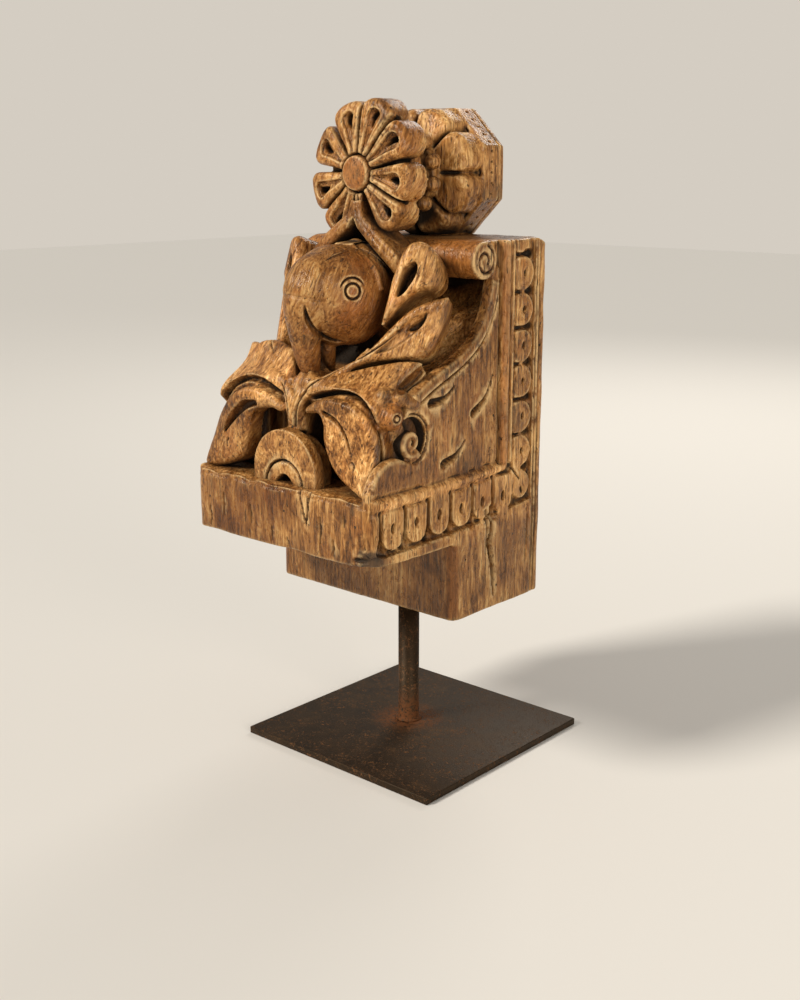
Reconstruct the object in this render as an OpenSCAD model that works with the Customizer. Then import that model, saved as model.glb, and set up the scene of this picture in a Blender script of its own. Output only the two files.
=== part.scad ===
// Carved wooden corbel with a bird's head, leaves and rosettes, on a steel rod and a square foot.
// Millimetres. +Z is up, the carved front faces -Y, and x = 0 is the corbel's mid-plane.
// The origin is on the underside of the foot plate, on the axis of the rod.

/* [Stand] */
// Side of the square foot plate
plate_side = 200; // [170:1:230]
// Thickness of the foot plate
plate_t = 6; // [4:0.5:10]
// Offset of the plate's centre from the rod, to the right
plate_dx = 10; // [-15:1:15]
// Offset of the plate's centre from the rod, to the back
plate_dy = -5; // [-15:1:15]
// Diameter of the rod
rod_d = 18; // [12:0.5:24]

/* [Block] */
// Width of the corbel from side to side
block_w = 190; // [186:1:200]
// Depth of the tenon below the ledge
block_d = 114; // [112:1:120]
// Height of the tenon's underside above the table
block_z = 132; // [100:1:150]
// How far the ledge stands out in front of the tenon
ledge_out = 93; // [91:1:96]
// Radius of the ledge's rounded front corners
corner_r = 9; // [6:0.5:11]

/* [Side carving] */
// Depth of the sunk bands and of the side panel's grooves
sunk = 3; // [1.5:0.5:4]
// Spacing of the scallops up the back edge
scallop_step = 28; // [27:0.5:29]
// Radius of a scallop's round end
scallop_r = 13; // [12:0.25:13.25]
// Spacing of the hanging tongues along the ledge
tongue_step = 26; // [25:0.5:27]
// Radius of a tongue's round end
tongue_r = 12; // [11:0.25:12.25]

/* [Head and leaves] */
// Radius of the bird's head
head_r = 34; // [30:0.5:36]
// Thickness of the beak
beak_w = 20; // [14:1:24]
// Thickness of a leaf from front to back
leaf_t = 24; // [18:1:28]

/* [Rosettes] */
// Height of the centre line of both rosettes above the corbel's top
rose_up = 48.6; // [48:0.1:48.8]
// Half the width of the rear octagon across its flats
octagon_a = 49; // [48.9:0.1:50]
// Radius from the flower's centre to the middle of a petal's round end
petal_c = 36.5; // [35:0.25:38]
// Radius of the flower's centre boss
boss_r = 12.5; // [10:0.5:14]
// Radius of the ring of beads in front of the rear rosette
bead_c = 28.5; // [27:0.25:29]
// Radius of a bead
bead_r = 6.4; // [5:0.2:7]

/* [Hidden] */
$fn = 48;
half_w = block_w / 2;
back_y = block_d / 2;
front_y = -back_y - ledge_out;
ledge_z = block_z + 62;          // underside of the ledge
shelf_z = ledge_z + 49;          // top of the ledge
top_z = block_z + 288;           // flat top of the corbel
rose_z = top_z + rose_up;
wall_t = 10;                     // side walls of the hollow front field
sweep_y = -112;                  // centre of the concave sweep of the side walls
sweep_z = top_z - 4;
sweep_r = 101;
field_in = 9;                    // how far the field lies inside the walls
roll_y = -23;                    // roll along the top front edge
roll_z = top_z - 14;
roll_r = 14;
leaf_turn = 33.5;                // the side leaves' faces turn outwards by this
eps = 0.5;

// Points on an arc, angles in degrees
function arc(cx, cy, r, a0, a1, n = 10) =
    [for (i = [0:n]) let (a = a0 + (a1 - a0) * i / n) [cx + r * cos(a), cy + r * sin(a)]];
// One point of a Catmull-Rom curve through b and c
function between(a, b, c, d, t) =
    0.5 * (2 * b + (c - a) * t + (2 * a - 5 * b + 4 * c - d) * t * t
        + (3 * b - a - 3 * c + d) * t * t * t);
// Closed smooth outline through a few points
function outline(p, n = 4) = let (m = len(p))
    [for (i = [0:m - 1]) for (k = [0:n - 1])
        between(p[(i + m - 1) % m], p[i], p[(i + 1) % m], p[(i + 2) % m], k / n)];

// A (y, z) outline stretched across x0 to x1
module across(x0, x1) {
    translate([x0, 0, 0]) rotate([90, 0, 90]) linear_extrude(x1 - x0) children();
}
// An (x, z) outline stretched from front y0 back to y1
module backwards(y0, y1) {
    translate([0, y1, 0]) rotate([90, 0, 0]) linear_extrude(y1 - y0) children();
}
// A round bar along x, given in (y, z)
module bar(y, z, r, x0, x1) {
    translate([x0, y, z]) rotate([0, 90, 0]) cylinder(h = x1 - x0, r = r);
}
// A round bar along y, given in (x, z)
module rodlet(x, z, r, y0, y1) {
    translate([x, y1, z]) rotate([90, 0, 0]) cylinder(h = y1 - y0, r = r);
}
module both_sides() {
    children();
    mirror([1, 0, 0]) children();
}
module box(x0, x1, y0, y1, z0, z1) {
    translate([x0, y0, z0]) cube([x1 - x0, y1 - y0, z1 - z0]);
}

// Side view of the block: tenon, ledge, the hump at its front, and the sweep up to the top
module side_view() {
    polygon(concat(
        [[back_y, block_z], [back_y, top_z], [roll_y + 4, top_z], [roll_y + 8, top_z - 24]],
        arc(sweep_y, sweep_z, sweep_r, -16, -85),
        [[-112, top_z - 116], [-106, top_z - 130], [-104, shelf_z + 25]],
        [for (i = [0:6]) let (a = 75 + 15 * i)
            [-122 + 28 * cos(a), shelf_z + 1 + 26 * sin(a)]],
        [[front_y, shelf_z], [front_y, ledge_z], [-back_y, ledge_z], [-back_y, block_z]]));
}

// Plan view with rounded corners
module plan_view() {
    polygon(concat(
        arc(half_w - corner_r, front_y + corner_r, corner_r, -90, 0, 5),
        arc(half_w - 5, back_y - 5, 5, 0, 90, 4),
        arc(5 - half_w, back_y - 5, 5, 90, 180, 4),
        arc(corner_r - half_w, front_y + corner_r, corner_r, 180, 270, 5)));
}

module block() {
    difference() {
        intersection() {
            across(-half_w, half_w) side_view();
            translate([0, 0, block_z - 1]) linear_extrude(top_z - block_z + 2) plan_view();
        }
        intersection() {
            bar(sweep_y, sweep_z, sweep_r + field_in, wall_t - half_w, half_w - wall_t);
            box(-half_w, half_w, -103.5, 1, shelf_z + 50, top_z - 27);
        }
        box(wall_t - half_w, half_w - wall_t, front_y - 1, -110, shelf_z, shelf_z + 80);
    }
    bar(roll_y, roll_z, roll_r, -half_w, half_w);
}

// Sunk bands and grooves of the right side, cut into the block
module side_cuts() {
    floor_x = half_w - sunk;
    out_x = half_w + 9;
    box(floor_x, out_x, 15, 40.8, ledge_z + 20, top_z + 1);
    box(floor_x, out_x, front_y - 1, 15.5, ledge_z + 9, shelf_z - 6.5);
    box(half_w - 4, out_x, -1, 11, shelf_z + 1, top_z + 1);
    box(floor_x, out_x, 43, 45, ledge_z + 6, top_z + 1);
    box(half_w - 4, out_x, front_y - 1, 4, shelf_z - 6.8, shelf_z + 1.2);
    crescent(-69, shelf_z + 68, 26);
    crescent(-21, shelf_z + 62, 30);
    crescent(-56, shelf_z + 22, 24);
    bar(-110, shelf_z + 43, 11, half_w - 12, out_x);
}

// Curved gouge, thick at the front end and pointed at the back
module crescent(y, z, r) {
    translate([half_w - sunk, y, z]) rotate([0, 90, 0]) rotate([0, 0, 25])
        intersection() {
            difference() {
                translate([-r + 6, 0, 0]) cylinder(h = 8, r = r);
                translate([-r - 1, -4, -1]) cylinder(h = 10, r = r + 1);
            }
            translate([-6, -14, -1]) cube([16, 30, 10]);
        }
}

// Scallops, tongues, beads and the lower scroll of the right side
module side_relief() {
    floor_x = half_w - sunk - 1;
    for (i = [0:6]) let (z = shelf_z + 11 + scallop_step * i)
        difference() {
            intersection() {
                union() {
                    bar(26.5, z, scallop_r, floor_x, half_w);
                    box(floor_x, half_w, 17, 26.5, z - scallop_r + eps, z + scallop_r - eps);
                }
                box(0, half_w + 1, 0, back_y, 0, top_z);
            }
            if (i < 6) bar(28, z, 2.2, half_w - 2, half_w + 1);
        }
    for (i = [0:5]) let (y = front_y + 25 + tongue_step * i)
        difference() {
            union() {
                bar(y, ledge_z + 23, tongue_r, floor_x, half_w);
                box(floor_x, half_w, y - tongue_r + eps, y + tongue_r - eps, ledge_z + 23, shelf_z - 5);
            }
            box(half_w - 2, half_w + 1, y - 1.6, y + 1.6, ledge_z + 24, ledge_z + 33);
        }
    bar(28.3, shelf_z - 16.3, 11, floor_x, half_w);
    translate([half_w - 4.4, 5, shelf_z - 5]) cylinder(h = top_z - shelf_z + 4, r = 4.2);
    translate([half_w - 4.2, 7, shelf_z - 2.8]) rotate([90, 0, 0])
        cylinder(h = 7 - front_y - corner_r, r = 4);
    difference() {
        bar(-101, shelf_z + 39, 13.6, half_w - 18, half_w - eps);
        difference() {
            bar(-101, shelf_z + 39, 9.2, half_w - 3, half_w + 1);
            bar(-101, shelf_z + 39, 6.4, half_w - 4, half_w + 2);
        }
    }
    translate([half_w - 10.5, -118.5, shelf_z + 59]) sphere(r = 10.3);
}

// Arched loop in the middle of the ledge, with its stem
module arch() {
    difference() {
        union() {
            rodlet(0, shelf_z + 8, 33, -143, -108);
            box(-33 + eps, 33 - eps, -143 + eps, -108, shelf_z - 1, shelf_z + 8);
            backwards(-130, -100) polygon(outline([[-8, shelf_z + 30], [-7, shelf_z + 60],
                [-13, shelf_z + 76], [0, shelf_z + 80], [13, shelf_z + 76], [7, shelf_z + 60],
                [8, shelf_z + 30]], 3));
        }
        rodlet(0, shelf_z - 3, 10.5, -146, -128);
        difference() {
            rodlet(0, shelf_z - 1, 20, -144, -140);
            rodlet(0, shelf_z - 1, 17.6, -145, -139);
        }
        box(-40, 40, -160, -100, shelf_z - 30, shelf_z - 2);
    }
}

// Drooping leaf at the front, right side
module front_leaf() {
    z = shelf_z;
    difference() {
        backwards(-138, -104) polygon(outline([[8, z + 66], [36, z + 72], [64, z + 65],
            [79, z + 48], [85, z + 20], [83, z - 1], [62, z - 1], [42, z + 14], [31, z + 34],
            [26, z + 52]]));
        backwards(-140, -132) polygon(outline([[36, z + 57], [52, z + 46], [63, z + 30],
            [68, z + 17], [60, z + 32], [50, z + 46]], 3));
    }
}

// A leaf on the right whose face turns outwards: its (u, z) outline starts at the middle stem
module turned_leaf(u_pts, slot, back = 0, deep = 5) {
    translate([4, -118 + back, 0]) rotate([0, 0, leaf_turn]) difference() {
        backwards(0, leaf_t) polygon(outline(u_pts));
        backwards(-1, deep) polygon(outline(slot, 3));
    }
}

module side_leaves() {
    z = top_z;
    // upper leaf, curled over at its end
    turned_leaf([[2, z - 104], [30, z - 76], [44, z - 52], [52, z - 24], [66, z - 4], [84, z - 1],
        [98, z - 12], [100, z - 30], [90, z - 36], [78, z - 36], [66, z - 50], [52, z - 70],
        [36, z - 88]],
        [[62, z - 38], [68, z - 26], [78, z - 16], [82, z - 18], [76, z - 28]], -2);
    // middle leaf, pointed
    turned_leaf([[0, z - 108], [24, z - 86], [48, z - 62], [72, z - 46], [104, z - 38],
        [103, z - 58], [88, z - 78], [66, z - 86], [36, z - 92]],
        [[52, z - 74], [66, z - 64], [78, z - 58], [79, z - 66], [66, z - 70]], -5);
    // lower leaf, broad, over the front leaf
    turned_leaf([[-6, z - 112], [20, z - 98], [50, z - 88], [92, z - 84], [76, z - 98],
        [66, z - 112], [52, z - 118], [20, z - 112]],
        [[20, z - 104], [50, z - 96], [60, z - 95], [50, z - 98]], -9, 2);
}

module bird_head() {
    translate([0, -79, top_z - 40]) sphere(r = head_r);
    rodlet(0, top_z - 36, 27, -80, -5);
    across(-beak_w / 2, beak_w / 2) polygon(outline([[-104, top_z - 40], [-114, top_z - 56],
        [-121, top_z - 78], [-112, top_z - 92], [-101, top_z - 99], [-97, top_z - 88],
        [-98, top_z - 72], [-84, top_z - 60]]));
    across(-beak_w / 2 + 3, beak_w / 2 - 3) polygon(outline([[-96, top_z - 64],
        [-99, top_z - 80], [-92, top_z - 92], [-80, top_z - 88], [-76, top_z - 70]], 3));
    both_sides() {
        difference() {
            bar(-82, top_z - 37, 7, 24, 34.5);
            difference() {
                bar(-82, top_z - 37, 5.6, 33, 36);
                bar(-82, top_z - 37, 3.8, 32, 37);
            }
        }
    }
    // scroll ridge behind the head and the mass that ties it to the field
    backwards(-72, -8) polygon(outline([[-52, top_z - 62], [-44, top_z - 26], [-12, top_z - 2],
        [0, top_z], [12, top_z - 2], [44, top_z - 26], [52, top_z - 62], [24, top_z - 92],
        [-24, top_z - 92]]));
    box(-60, 60, -112, -60, shelf_z + 40, top_z - 104);
    // forked stem that carries the flower
    backwards(-78, -44) polygon([[-8, top_z + 32], [8, top_z + 32], [9, top_z + 9],
        [44, top_z - 16], [38, top_z - 25], [0, top_z - 3], [-38, top_z - 25],
        [-44, top_z - 16], [-9, top_z + 9]]);
}

// One petal pointing along +x, its face at y = 0, running back
module petal(c, r, deep, slot_in) {
    difference() {
        union() {
            rodlet(c, 0, r, 0, deep);
            backwards(0, deep) polygon([[4, -2.5], [c, 0.7 - r], [c, r - 0.7], [4, 2.5]]);
        }
        rodlet(c + 1, 0, r * 0.36, -1, slot_in + 3);
        backwards(-1, slot_in) polygon([[c - 20, -1], [c, -3.4], [c, 3.4], [c - 20, 1]]);
    }
}

module flower() {
    translate([0, -63, rose_z]) {
        difference() {
            rodlet(0, 0, boss_r, -1.5, 20);
            difference() {
                rodlet(0, 0, boss_r - 3, -2, 0);
                rodlet(0, 0, boss_r - 4.5, -3, 1);
            }
        }
        for (k = [0:7]) rotate([0, -30 - 40 * k + (k > 5 ? -40 : 0), 0])
            petal(petal_c, 11.7, 33, 3);
        rodlet(0, 0, 24, 8, 94);
    }
}

module rear_rosette() {
    translate([0, back_y, rose_z]) rotate([90, 22.5, 0])
        cylinder(h = 26, r = octagon_a / cos(22.5), $fn = 8);
    for (k = [0:7]) translate([0, 9, rose_z]) rotate([0, 22.5 + 45 * k, 0])
        petal(36, 13.3, 24, 3);
    rodlet(0, rose_z, 30, -7, 15);
    for (k = [0:9]) let (a = 18 + 36 * k)
        translate([bead_c * cos(a), -6, rose_z + bead_c * sin(a)]) sphere(r = bead_r);
}

module carved_corbel() {
    color("peru") {
        difference() {
            block();
            both_sides() side_cuts();
        }
        both_sides() side_relief();
        arch();
        both_sides() front_leaf();
        both_sides() side_leaves();
        bird_head();
        flower();
        rear_rosette();
    }
}

module stand_rod() {
    color("dimgray") translate([0, 0, plate_t]) cylinder(h = block_z - plate_t, d = rod_d);
}

module foot_plate() {
    color("dimgray") translate([plate_dx - plate_side / 2, plate_dy - plate_side / 2, 0])
        cube([plate_side, plate_side, plate_t]);
}

carved_corbel();
stand_rod();
foot_plate();
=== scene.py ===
import math
import bpy
import bmesh
import numpy as np
from mathutils import Matrix, Vector
from mathutils.bvhtree import BVHTree
from mathutils.kdtree import KDTree


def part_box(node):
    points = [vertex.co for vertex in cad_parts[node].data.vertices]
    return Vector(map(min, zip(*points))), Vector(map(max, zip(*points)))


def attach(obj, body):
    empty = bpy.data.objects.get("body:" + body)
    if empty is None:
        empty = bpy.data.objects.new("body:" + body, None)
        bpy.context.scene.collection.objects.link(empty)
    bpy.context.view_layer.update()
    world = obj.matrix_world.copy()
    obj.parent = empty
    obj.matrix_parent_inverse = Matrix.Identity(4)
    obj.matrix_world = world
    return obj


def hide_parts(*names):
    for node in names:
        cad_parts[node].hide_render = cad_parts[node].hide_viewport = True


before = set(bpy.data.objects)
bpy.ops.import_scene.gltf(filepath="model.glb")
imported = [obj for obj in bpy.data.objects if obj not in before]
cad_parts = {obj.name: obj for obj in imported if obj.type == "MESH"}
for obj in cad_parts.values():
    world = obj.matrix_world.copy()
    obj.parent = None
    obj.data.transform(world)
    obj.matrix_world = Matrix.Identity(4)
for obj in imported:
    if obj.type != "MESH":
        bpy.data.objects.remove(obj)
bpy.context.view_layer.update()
mm = 0.001

# Shapes are worked out in millimetres and made metres when a piece is finished.
print("tools")


def along(points, t):
    # smooth curve through evenly spaced points or numbers, t from 0 to 1
    p = np.asarray(points, float)
    if p.ndim == 1:
        p = p[:, None]
    last = len(p) - 1
    x = np.clip(np.asarray(t, float), 0, 1) * last
    i = np.minimum(x.astype(int), last - 1)
    f = (x - i)[:, None]
    pad = np.vstack([2 * p[0] - p[1], p, 2 * p[-1] - p[-2]])
    a, b, c, d = pad[i], pad[i + 1], pad[i + 2], pad[i + 3]
    return 0.5 * (2 * b + (c - a) * f + (2 * a - 5 * b + 4 * c - d) * f ** 2
                  + (3 * b - a - 3 * c + d) * f ** 3)


def compass(degrees):
    return math.cos(math.radians(degrees)), math.sin(math.radians(degrees))


def unit(v):
    v = np.asarray(v, float)
    return v / np.maximum(np.linalg.norm(v, axis=-1, keepdims=True), 1e-9)


def step(x, low, high):
    # 0 below low, 1 above high, smooth between
    t = np.clip((x - low) / (high - low), 0, 1)
    return t * t * (3 - 2 * t)


def roughly(p, size, seed=0):
    # smooth random field with features of the given size, about -1 to 1
    q = np.asarray(p, float) / size + 17.3 * seed
    cell = np.floor(q).astype(np.int64)
    f = q - cell
    f = f * f * (3 - 2 * f)
    total = np.zeros(len(q))
    for corner in range(8):
        o = np.array([corner & 1, corner >> 1 & 1, corner >> 2 & 1])
        k = cell + o
        h = (k[:, 0] * 73856093) ^ (k[:, 1] * 19349663) ^ (k[:, 2] * 83492791)
        h = (h ^ (h >> 13)) * 1274126177 & 0x7FFFFFFF
        w = np.prod(np.where(o, f, 1 - f), axis=1)
        total += w * (h % 65536 / 32768.0 - 1)
    return total


def addBlade(bm, path, outer, inner, facing, lift, deep, rows=80, cols=30, sides=1):
    # strip along a path, as wide as outer and inner say, with its own surface height
    made = bmesh.ops.create_grid(bm, x_segments=rows, y_segments=cols, size=1.0)["verts"]
    at = np.array([v.co for v in made])
    t, s = (at[:, 0] + 1) / 2, at[:, 1]
    up = unit(facing)
    ahead = unit(along(path, t + 0.01) - along(path, t - 0.01))
    side = unit(np.cross(up, ahead))
    wide = np.where(s > 0, along(outer, t)[:, 0], along(inner, t)[:, 0])
    spot = along(path, t) + side * (s * np.maximum(wide, 0.05))[:, None]
    spot = spot + up * lift(t, s, wide)[:, None]
    for v, co in zip(made, spot):
        v.co = co
    faces = list({f for v in made for f in v.link_faces})
    grown = bmesh.ops.extrude_face_region(bm, geom=faces)["geom"]
    moved = [g for g in grown if isinstance(g, bmesh.types.BMVert)]
    bmesh.ops.translate(bm, verts=moved, vec=Vector(-up * deep))
    if sides == 2:
        mirrorPart(bm, made + moved)


def addTube(bm, path, radii, flat=None, rows=60, cols=36, sides=1):
    # round limb along a path; flat gives its radius across x where it isn't round
    made = bmesh.ops.create_grid(bm, x_segments=rows, y_segments=cols, size=1.0)["verts"]
    at = np.array([v.co for v in made])
    t, a = (at[:, 0] + 1) / 2, at[:, 1] * math.pi
    ahead = unit(along(path, t + 0.01) - along(path, t - 0.01))
    across = unit(np.cross(ahead, np.array([0.02, 0.3, 1.0])))
    over = np.cross(across, ahead)
    r = np.maximum(along(radii, t)[:, 0], 0.02)
    rx = np.maximum(along(flat, t)[:, 0], 0.02) if flat else r
    spot = along(path, t) + across * (rx * np.cos(a))[:, None] + over * (r * np.sin(a))[:, None]
    for v, co in zip(made, spot):
        v.co = co
    bmesh.ops.remove_doubles(bm, verts=made, dist=0.001)
    edges = [e for e in bm.edges if e.is_boundary]
    bmesh.ops.holes_fill(bm, edges=edges, sides=cols + 4)
    if sides == 2:
        mirrorPart(bm, [v for v in made if v.is_valid])


def mirrorPart(bm, verts):
    # the same part on the other side of the middle plane
    linked = {g for v in verts for g in (v, *v.link_edges, *v.link_faces)}
    copy = bmesh.ops.duplicate(bm, geom=list(linked))["geom"]
    flipped = [g for g in copy if isinstance(g, bmesh.types.BMVert)]
    bmesh.ops.scale(bm, vec=(-1, 1, 1), verts=flipped)


def addBall(bm, centre, radii, sides=1):
    made = bmesh.ops.create_uvsphere(bm, u_segments=48, v_segments=32, radius=1.0)["verts"]
    bmesh.ops.scale(bm, vec=radii, verts=made)
    bmesh.ops.translate(bm, vec=centre, verts=made)
    if sides == 2:
        mirrorPart(bm, made)


def addBar(bm, start, end, r, segments=64, sides=1):
    # straight round bar between two points
    a, b = Vector(start), Vector(end)
    made = bmesh.ops.create_cone(bm, cap_ends=True, segments=segments, radius1=r,
                                 radius2=r, depth=(b - a).length)["verts"]
    turn = (b - a).to_track_quat("Z", "Y").to_matrix()
    bmesh.ops.rotate(bm, verts=made, matrix=turn)
    bmesh.ops.translate(bm, verts=made, vec=(a + b) / 2)
    if sides == 2:
        mirrorPart(bm, made)


def addBox(bm, low, high, sides=1):
    made = bmesh.ops.create_cube(bm, size=1.0)["verts"]
    low, high = Vector(low), Vector(high)
    bmesh.ops.scale(bm, vec=high - low, verts=made)
    bmesh.ops.translate(bm, verts=made, vec=(low + high) / 2)
    if sides == 2:
        mirrorPart(bm, made)


def addSlab(bm, outline, x0, x1, sides=1):
    # (y, z) outline stretched across from x0 to x1
    verts = [bm.verts.new((x0, y, z)) for y, z in outline]
    face = bm.faces.new(verts)
    grown = bmesh.ops.extrude_face_region(bm, geom=[face])["geom"]
    moved = [g for g in grown if isinstance(g, bmesh.types.BMVert)]
    bmesh.ops.translate(bm, verts=moved, vec=(x1 - x0, 0, 0))
    if sides == 2:
        mirrorPart(bm, verts + moved)


def meshOf(bm, name):
    bmesh.ops.recalc_face_normals(bm, faces=bm.faces)
    mesh = bpy.data.meshes.new(name)
    bm.to_mesh(mesh)
    bm.free()
    return mesh


def modified(mesh, kind, **settings):
    # a new mesh with one modifier applied
    thing = bpy.data.objects.new("work", mesh)
    bpy.context.scene.collection.objects.link(thing)
    change = thing.modifiers.new("change", kind)
    for key, value in settings.items():
        setattr(change, key, value)
    graph = bpy.context.evaluated_depsgraph_get()
    out = bpy.data.meshes.new_from_object(thing.evaluated_get(graph))
    bpy.data.objects.remove(thing)
    return out


def fused(mesh, voxel):
    return modified(mesh, "REMESH", mode="VOXEL", voxel_size=voxel, adaptivity=0.0)


def spots(mesh):
    co = np.empty(len(mesh.vertices) * 3)
    mesh.vertices.foreach_get("co", co)
    return co.reshape(-1, 3)


def normals(mesh):
    n = np.empty(len(mesh.vertices) * 3, np.float32)
    mesh.vertex_normals.foreach_get("vector", n)
    return n.reshape(-1, 3).astype(float)


def put(mesh, co):
    # move the mesh's points
    mesh.vertices.foreach_set("co", co.ravel())
    mesh.update()


def links(mesh):
    e = np.empty(len(mesh.edges) * 2, np.int64)
    mesh.edges.foreach_get("vertices", e)
    return e.reshape(-1, 2)


def relaxed(co, edges, rounds, pull=0.5):
    # each point moves towards the middle of its neighbours
    n = len(co)
    count = np.bincount(edges.ravel(), minlength=n)[:, None]
    count = np.maximum(count, 1)
    for _ in range(rounds):
        total = np.stack([np.bincount(edges[:, 0], co[edges[:, 1], k], n)
                          + np.bincount(edges[:, 1], co[edges[:, 0], k], n)
                          for k in range(co.shape[1])], axis=1)
        co = co + (total / count - co) * pull
    return co


def planeOf(facing):
    # two directions across a facing, and the facing itself
    n = unit(facing)
    u = unit(np.cross((0.02, 0.01, 1.0), n))
    return u, np.cross(n, u), n


def edgeGap(points, loop):
    # distance from flat points to a closed loop, positive inside
    a, b = loop, np.roll(loop, -1, axis=0)
    run = b - a
    out = np.empty(len(points))
    for part in np.array_split(np.arange(len(points)), max(len(points) * len(loop) // 2000000, 1)):
        p = points[part][:, None]
        f = np.clip(((p - a) * run).sum(2) / np.maximum((run * run).sum(1), 1e-9), 0, 1)
        gap = np.sqrt((((a + f[..., None] * run) - p) ** 2).sum(2).min(1))
        py, ay, by = p[..., 1], a[:, 1], b[:, 1]
        crosses = ((ay > py) != (by > py)) & (p[..., 0] < a[:, 0] + run[:, 0] * (py - ay)
                                              / np.where(np.abs(run[:, 1]) < 1e-9, 1e-9, run[:, 1]))
        out[part] = np.where(crosses.sum(1) % 2 == 1, gap, -gap)
    return out


def looped(points, n=10):
    # smooth closed curve through given points
    p = np.asarray(points, float)
    around = np.vstack([p[-2:], p, p[:3]])
    return along(around, (2 + np.arange(len(p) * n) / n) / (len(around) - 1))


def addLeaf(bm, outline, facing, deep, bulge=4.0, soft=8.0, cell=1.2, lift=None, sides=1):
    # a carved shape with this outline; its face passes through the outline's points
    u, v, n = planeOf(facing)
    rim = looped(outline)
    mid = rim.mean(0)
    flat = np.stack([(rim - mid) @ u, (rim - mid) @ v], axis=1)
    off = (rim - mid) @ n
    lo, hi = flat.min(0), flat.max(0)
    count = np.ceil((hi - lo) / cell).astype(int)
    made = bmesh.ops.create_grid(bm, x_segments=count[0], y_segments=count[1], size=1.0)["verts"]
    at = (np.array([w.co[:2] for w in made]) + 1) / 2 * (hi - lo) + lo
    outside = edgeGap(at, flat) < 0.15 * cell
    place = {w: p for w, p, gone in zip(made, at, outside) if not gone}
    bmesh.ops.delete(bm, geom=[w for w, gone in zip(made, outside) if gone], context="VERTS")
    loose = [w for w in place if not w.link_faces]
    for w in loose:
        del place[w]
    bmesh.ops.delete(bm, geom=loose, context="VERTS")
    made = list(place)
    at = np.array([place[w] for w in made])
    apart = np.sqrt(((at[:, None] - flat[None]) ** 2).sum(2))
    for i, w in enumerate(made):
        if any(e.is_boundary for e in w.link_edges):
            at[i] = flat[apart[i].argmin()]
    gap = np.maximum(edgeGap(at, flat), 0)
    weight = 1 / (apart ** 2 + 1.0)
    rise = (weight * off).sum(1) / weight.sum(1)
    rise += bulge * np.sqrt(1 - (1 - np.clip(gap / soft, 0, 1)) ** 2)
    if lift:
        rise += lift(gap, at)
    spot = mid + at[:, :1] * u + at[:, 1:] * v + rise[:, None] * n
    for w, co in zip(made, spot):
        w.co = co
    faces = list({f for w in made for f in w.link_faces})
    grown = bmesh.ops.extrude_face_region(bm, geom=faces)["geom"]
    moved = [g for g in grown if isinstance(g, bmesh.types.BMVert)]
    bmesh.ops.translate(bm, verts=moved, vec=Vector(-n * deep))
    if sides == 2:
        mirrorPart(bm, made + moved)


def nearPart(co, marks, u, v, n, width, reach):
    # which points lie close to the marks, and both seen in the plane's directions
    p, m = np.stack([co @ u, co @ v, co @ n], 1), np.stack([marks @ u, marks @ v, marks @ n], 1)
    lo, hi = m.min(0) - (width, width, reach), m.max(0) + (width, width, reach)
    return np.where(np.all((p > lo) & (p < hi), axis=1))[0], p, m


def cut(co, line, width, depth, into, taper=None, reach=9.0, both=True):
    # gouge along a line, seen along into: points near it move by depth, on both sides or one
    n = max(int(sum(np.linalg.norm(np.diff(np.asarray(line, float), axis=0), axis=1)) / 0.4), 8)
    t = np.linspace(0, 1, n)
    size = along(taper, t)[:, 0] if taper else np.ones(n)
    for flip in ((1, -1) if both else (1,)):
        way = unit(into) * (flip, 1, 1)
        u, v, w = planeOf(way)
        near, p, m = nearPart(co, along(line, t) * (flip, 1, 1), u, v, w, width * 2.2, reach)
        for part in np.array_split(near, max(len(near) * n // 3000000, 1)):
            if not len(part):
                continue
            gap = np.sqrt(((p[part][:, None, :2] - m[None, :, :2]) ** 2).sum(2))
            rel = gap / np.maximum(size * width, 0.05)[None]
            best = rel.argmin(1)
            amount = 1 - step(rel[np.arange(len(part)), best], 0.4, 1.3)
            amount = amount * (np.abs(p[part, 2] - m[best, 2]) < reach)
            co[part] += way * (amount * depth * np.minimum(size[best] * 1.3, 1))[:, None]


def sink(co, outline, into, depth, edge=1.2, reach=12.0, both=True):
    # lower everything inside an outline, seen along into
    for flip in ((1, -1) if both else (1,)):
        way = unit(into) * (flip, 1, 1)
        u, v, w = planeOf(way)
        near, p, m = nearPart(co, looped(outline) * (flip, 1, 1), u, v, w, 1.0, reach)
        if len(near):
            gap = edgeGap(p[near][:, :2], m[:, :2])
            co[near] += way * (depth * step(gap, -0.3, edge))[:, None]


def ring(centre, r, across, over, start=0, end=360, shrink=0.0, n=28):
    # points on an arc or a spiral, in the plane of two directions
    out = []
    for k in range(n + 1):
        a = math.radians(start + (end - start) * k / n)
        q = r * (1 - shrink * k / n)
        out.append(np.array(centre, float) + q * math.cos(a) * np.array(across, float)
                   + q * math.sin(a) * np.array(over, float))
    return out


xRight, yBack, zUp = (1, 0, 0), (0, 1, 0), (0, 0, 1)
low, high = (np.array(c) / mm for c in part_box("carved_corbel"))
halfWide, frontY, backY, footZ = high[0], low[1], high[1], low[2]
carving = dict(soften=2, uneven=0.45, swellSize=34, rippleSize=13, toolSize=5.0)  # for every wooden piece
wood = {}


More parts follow.
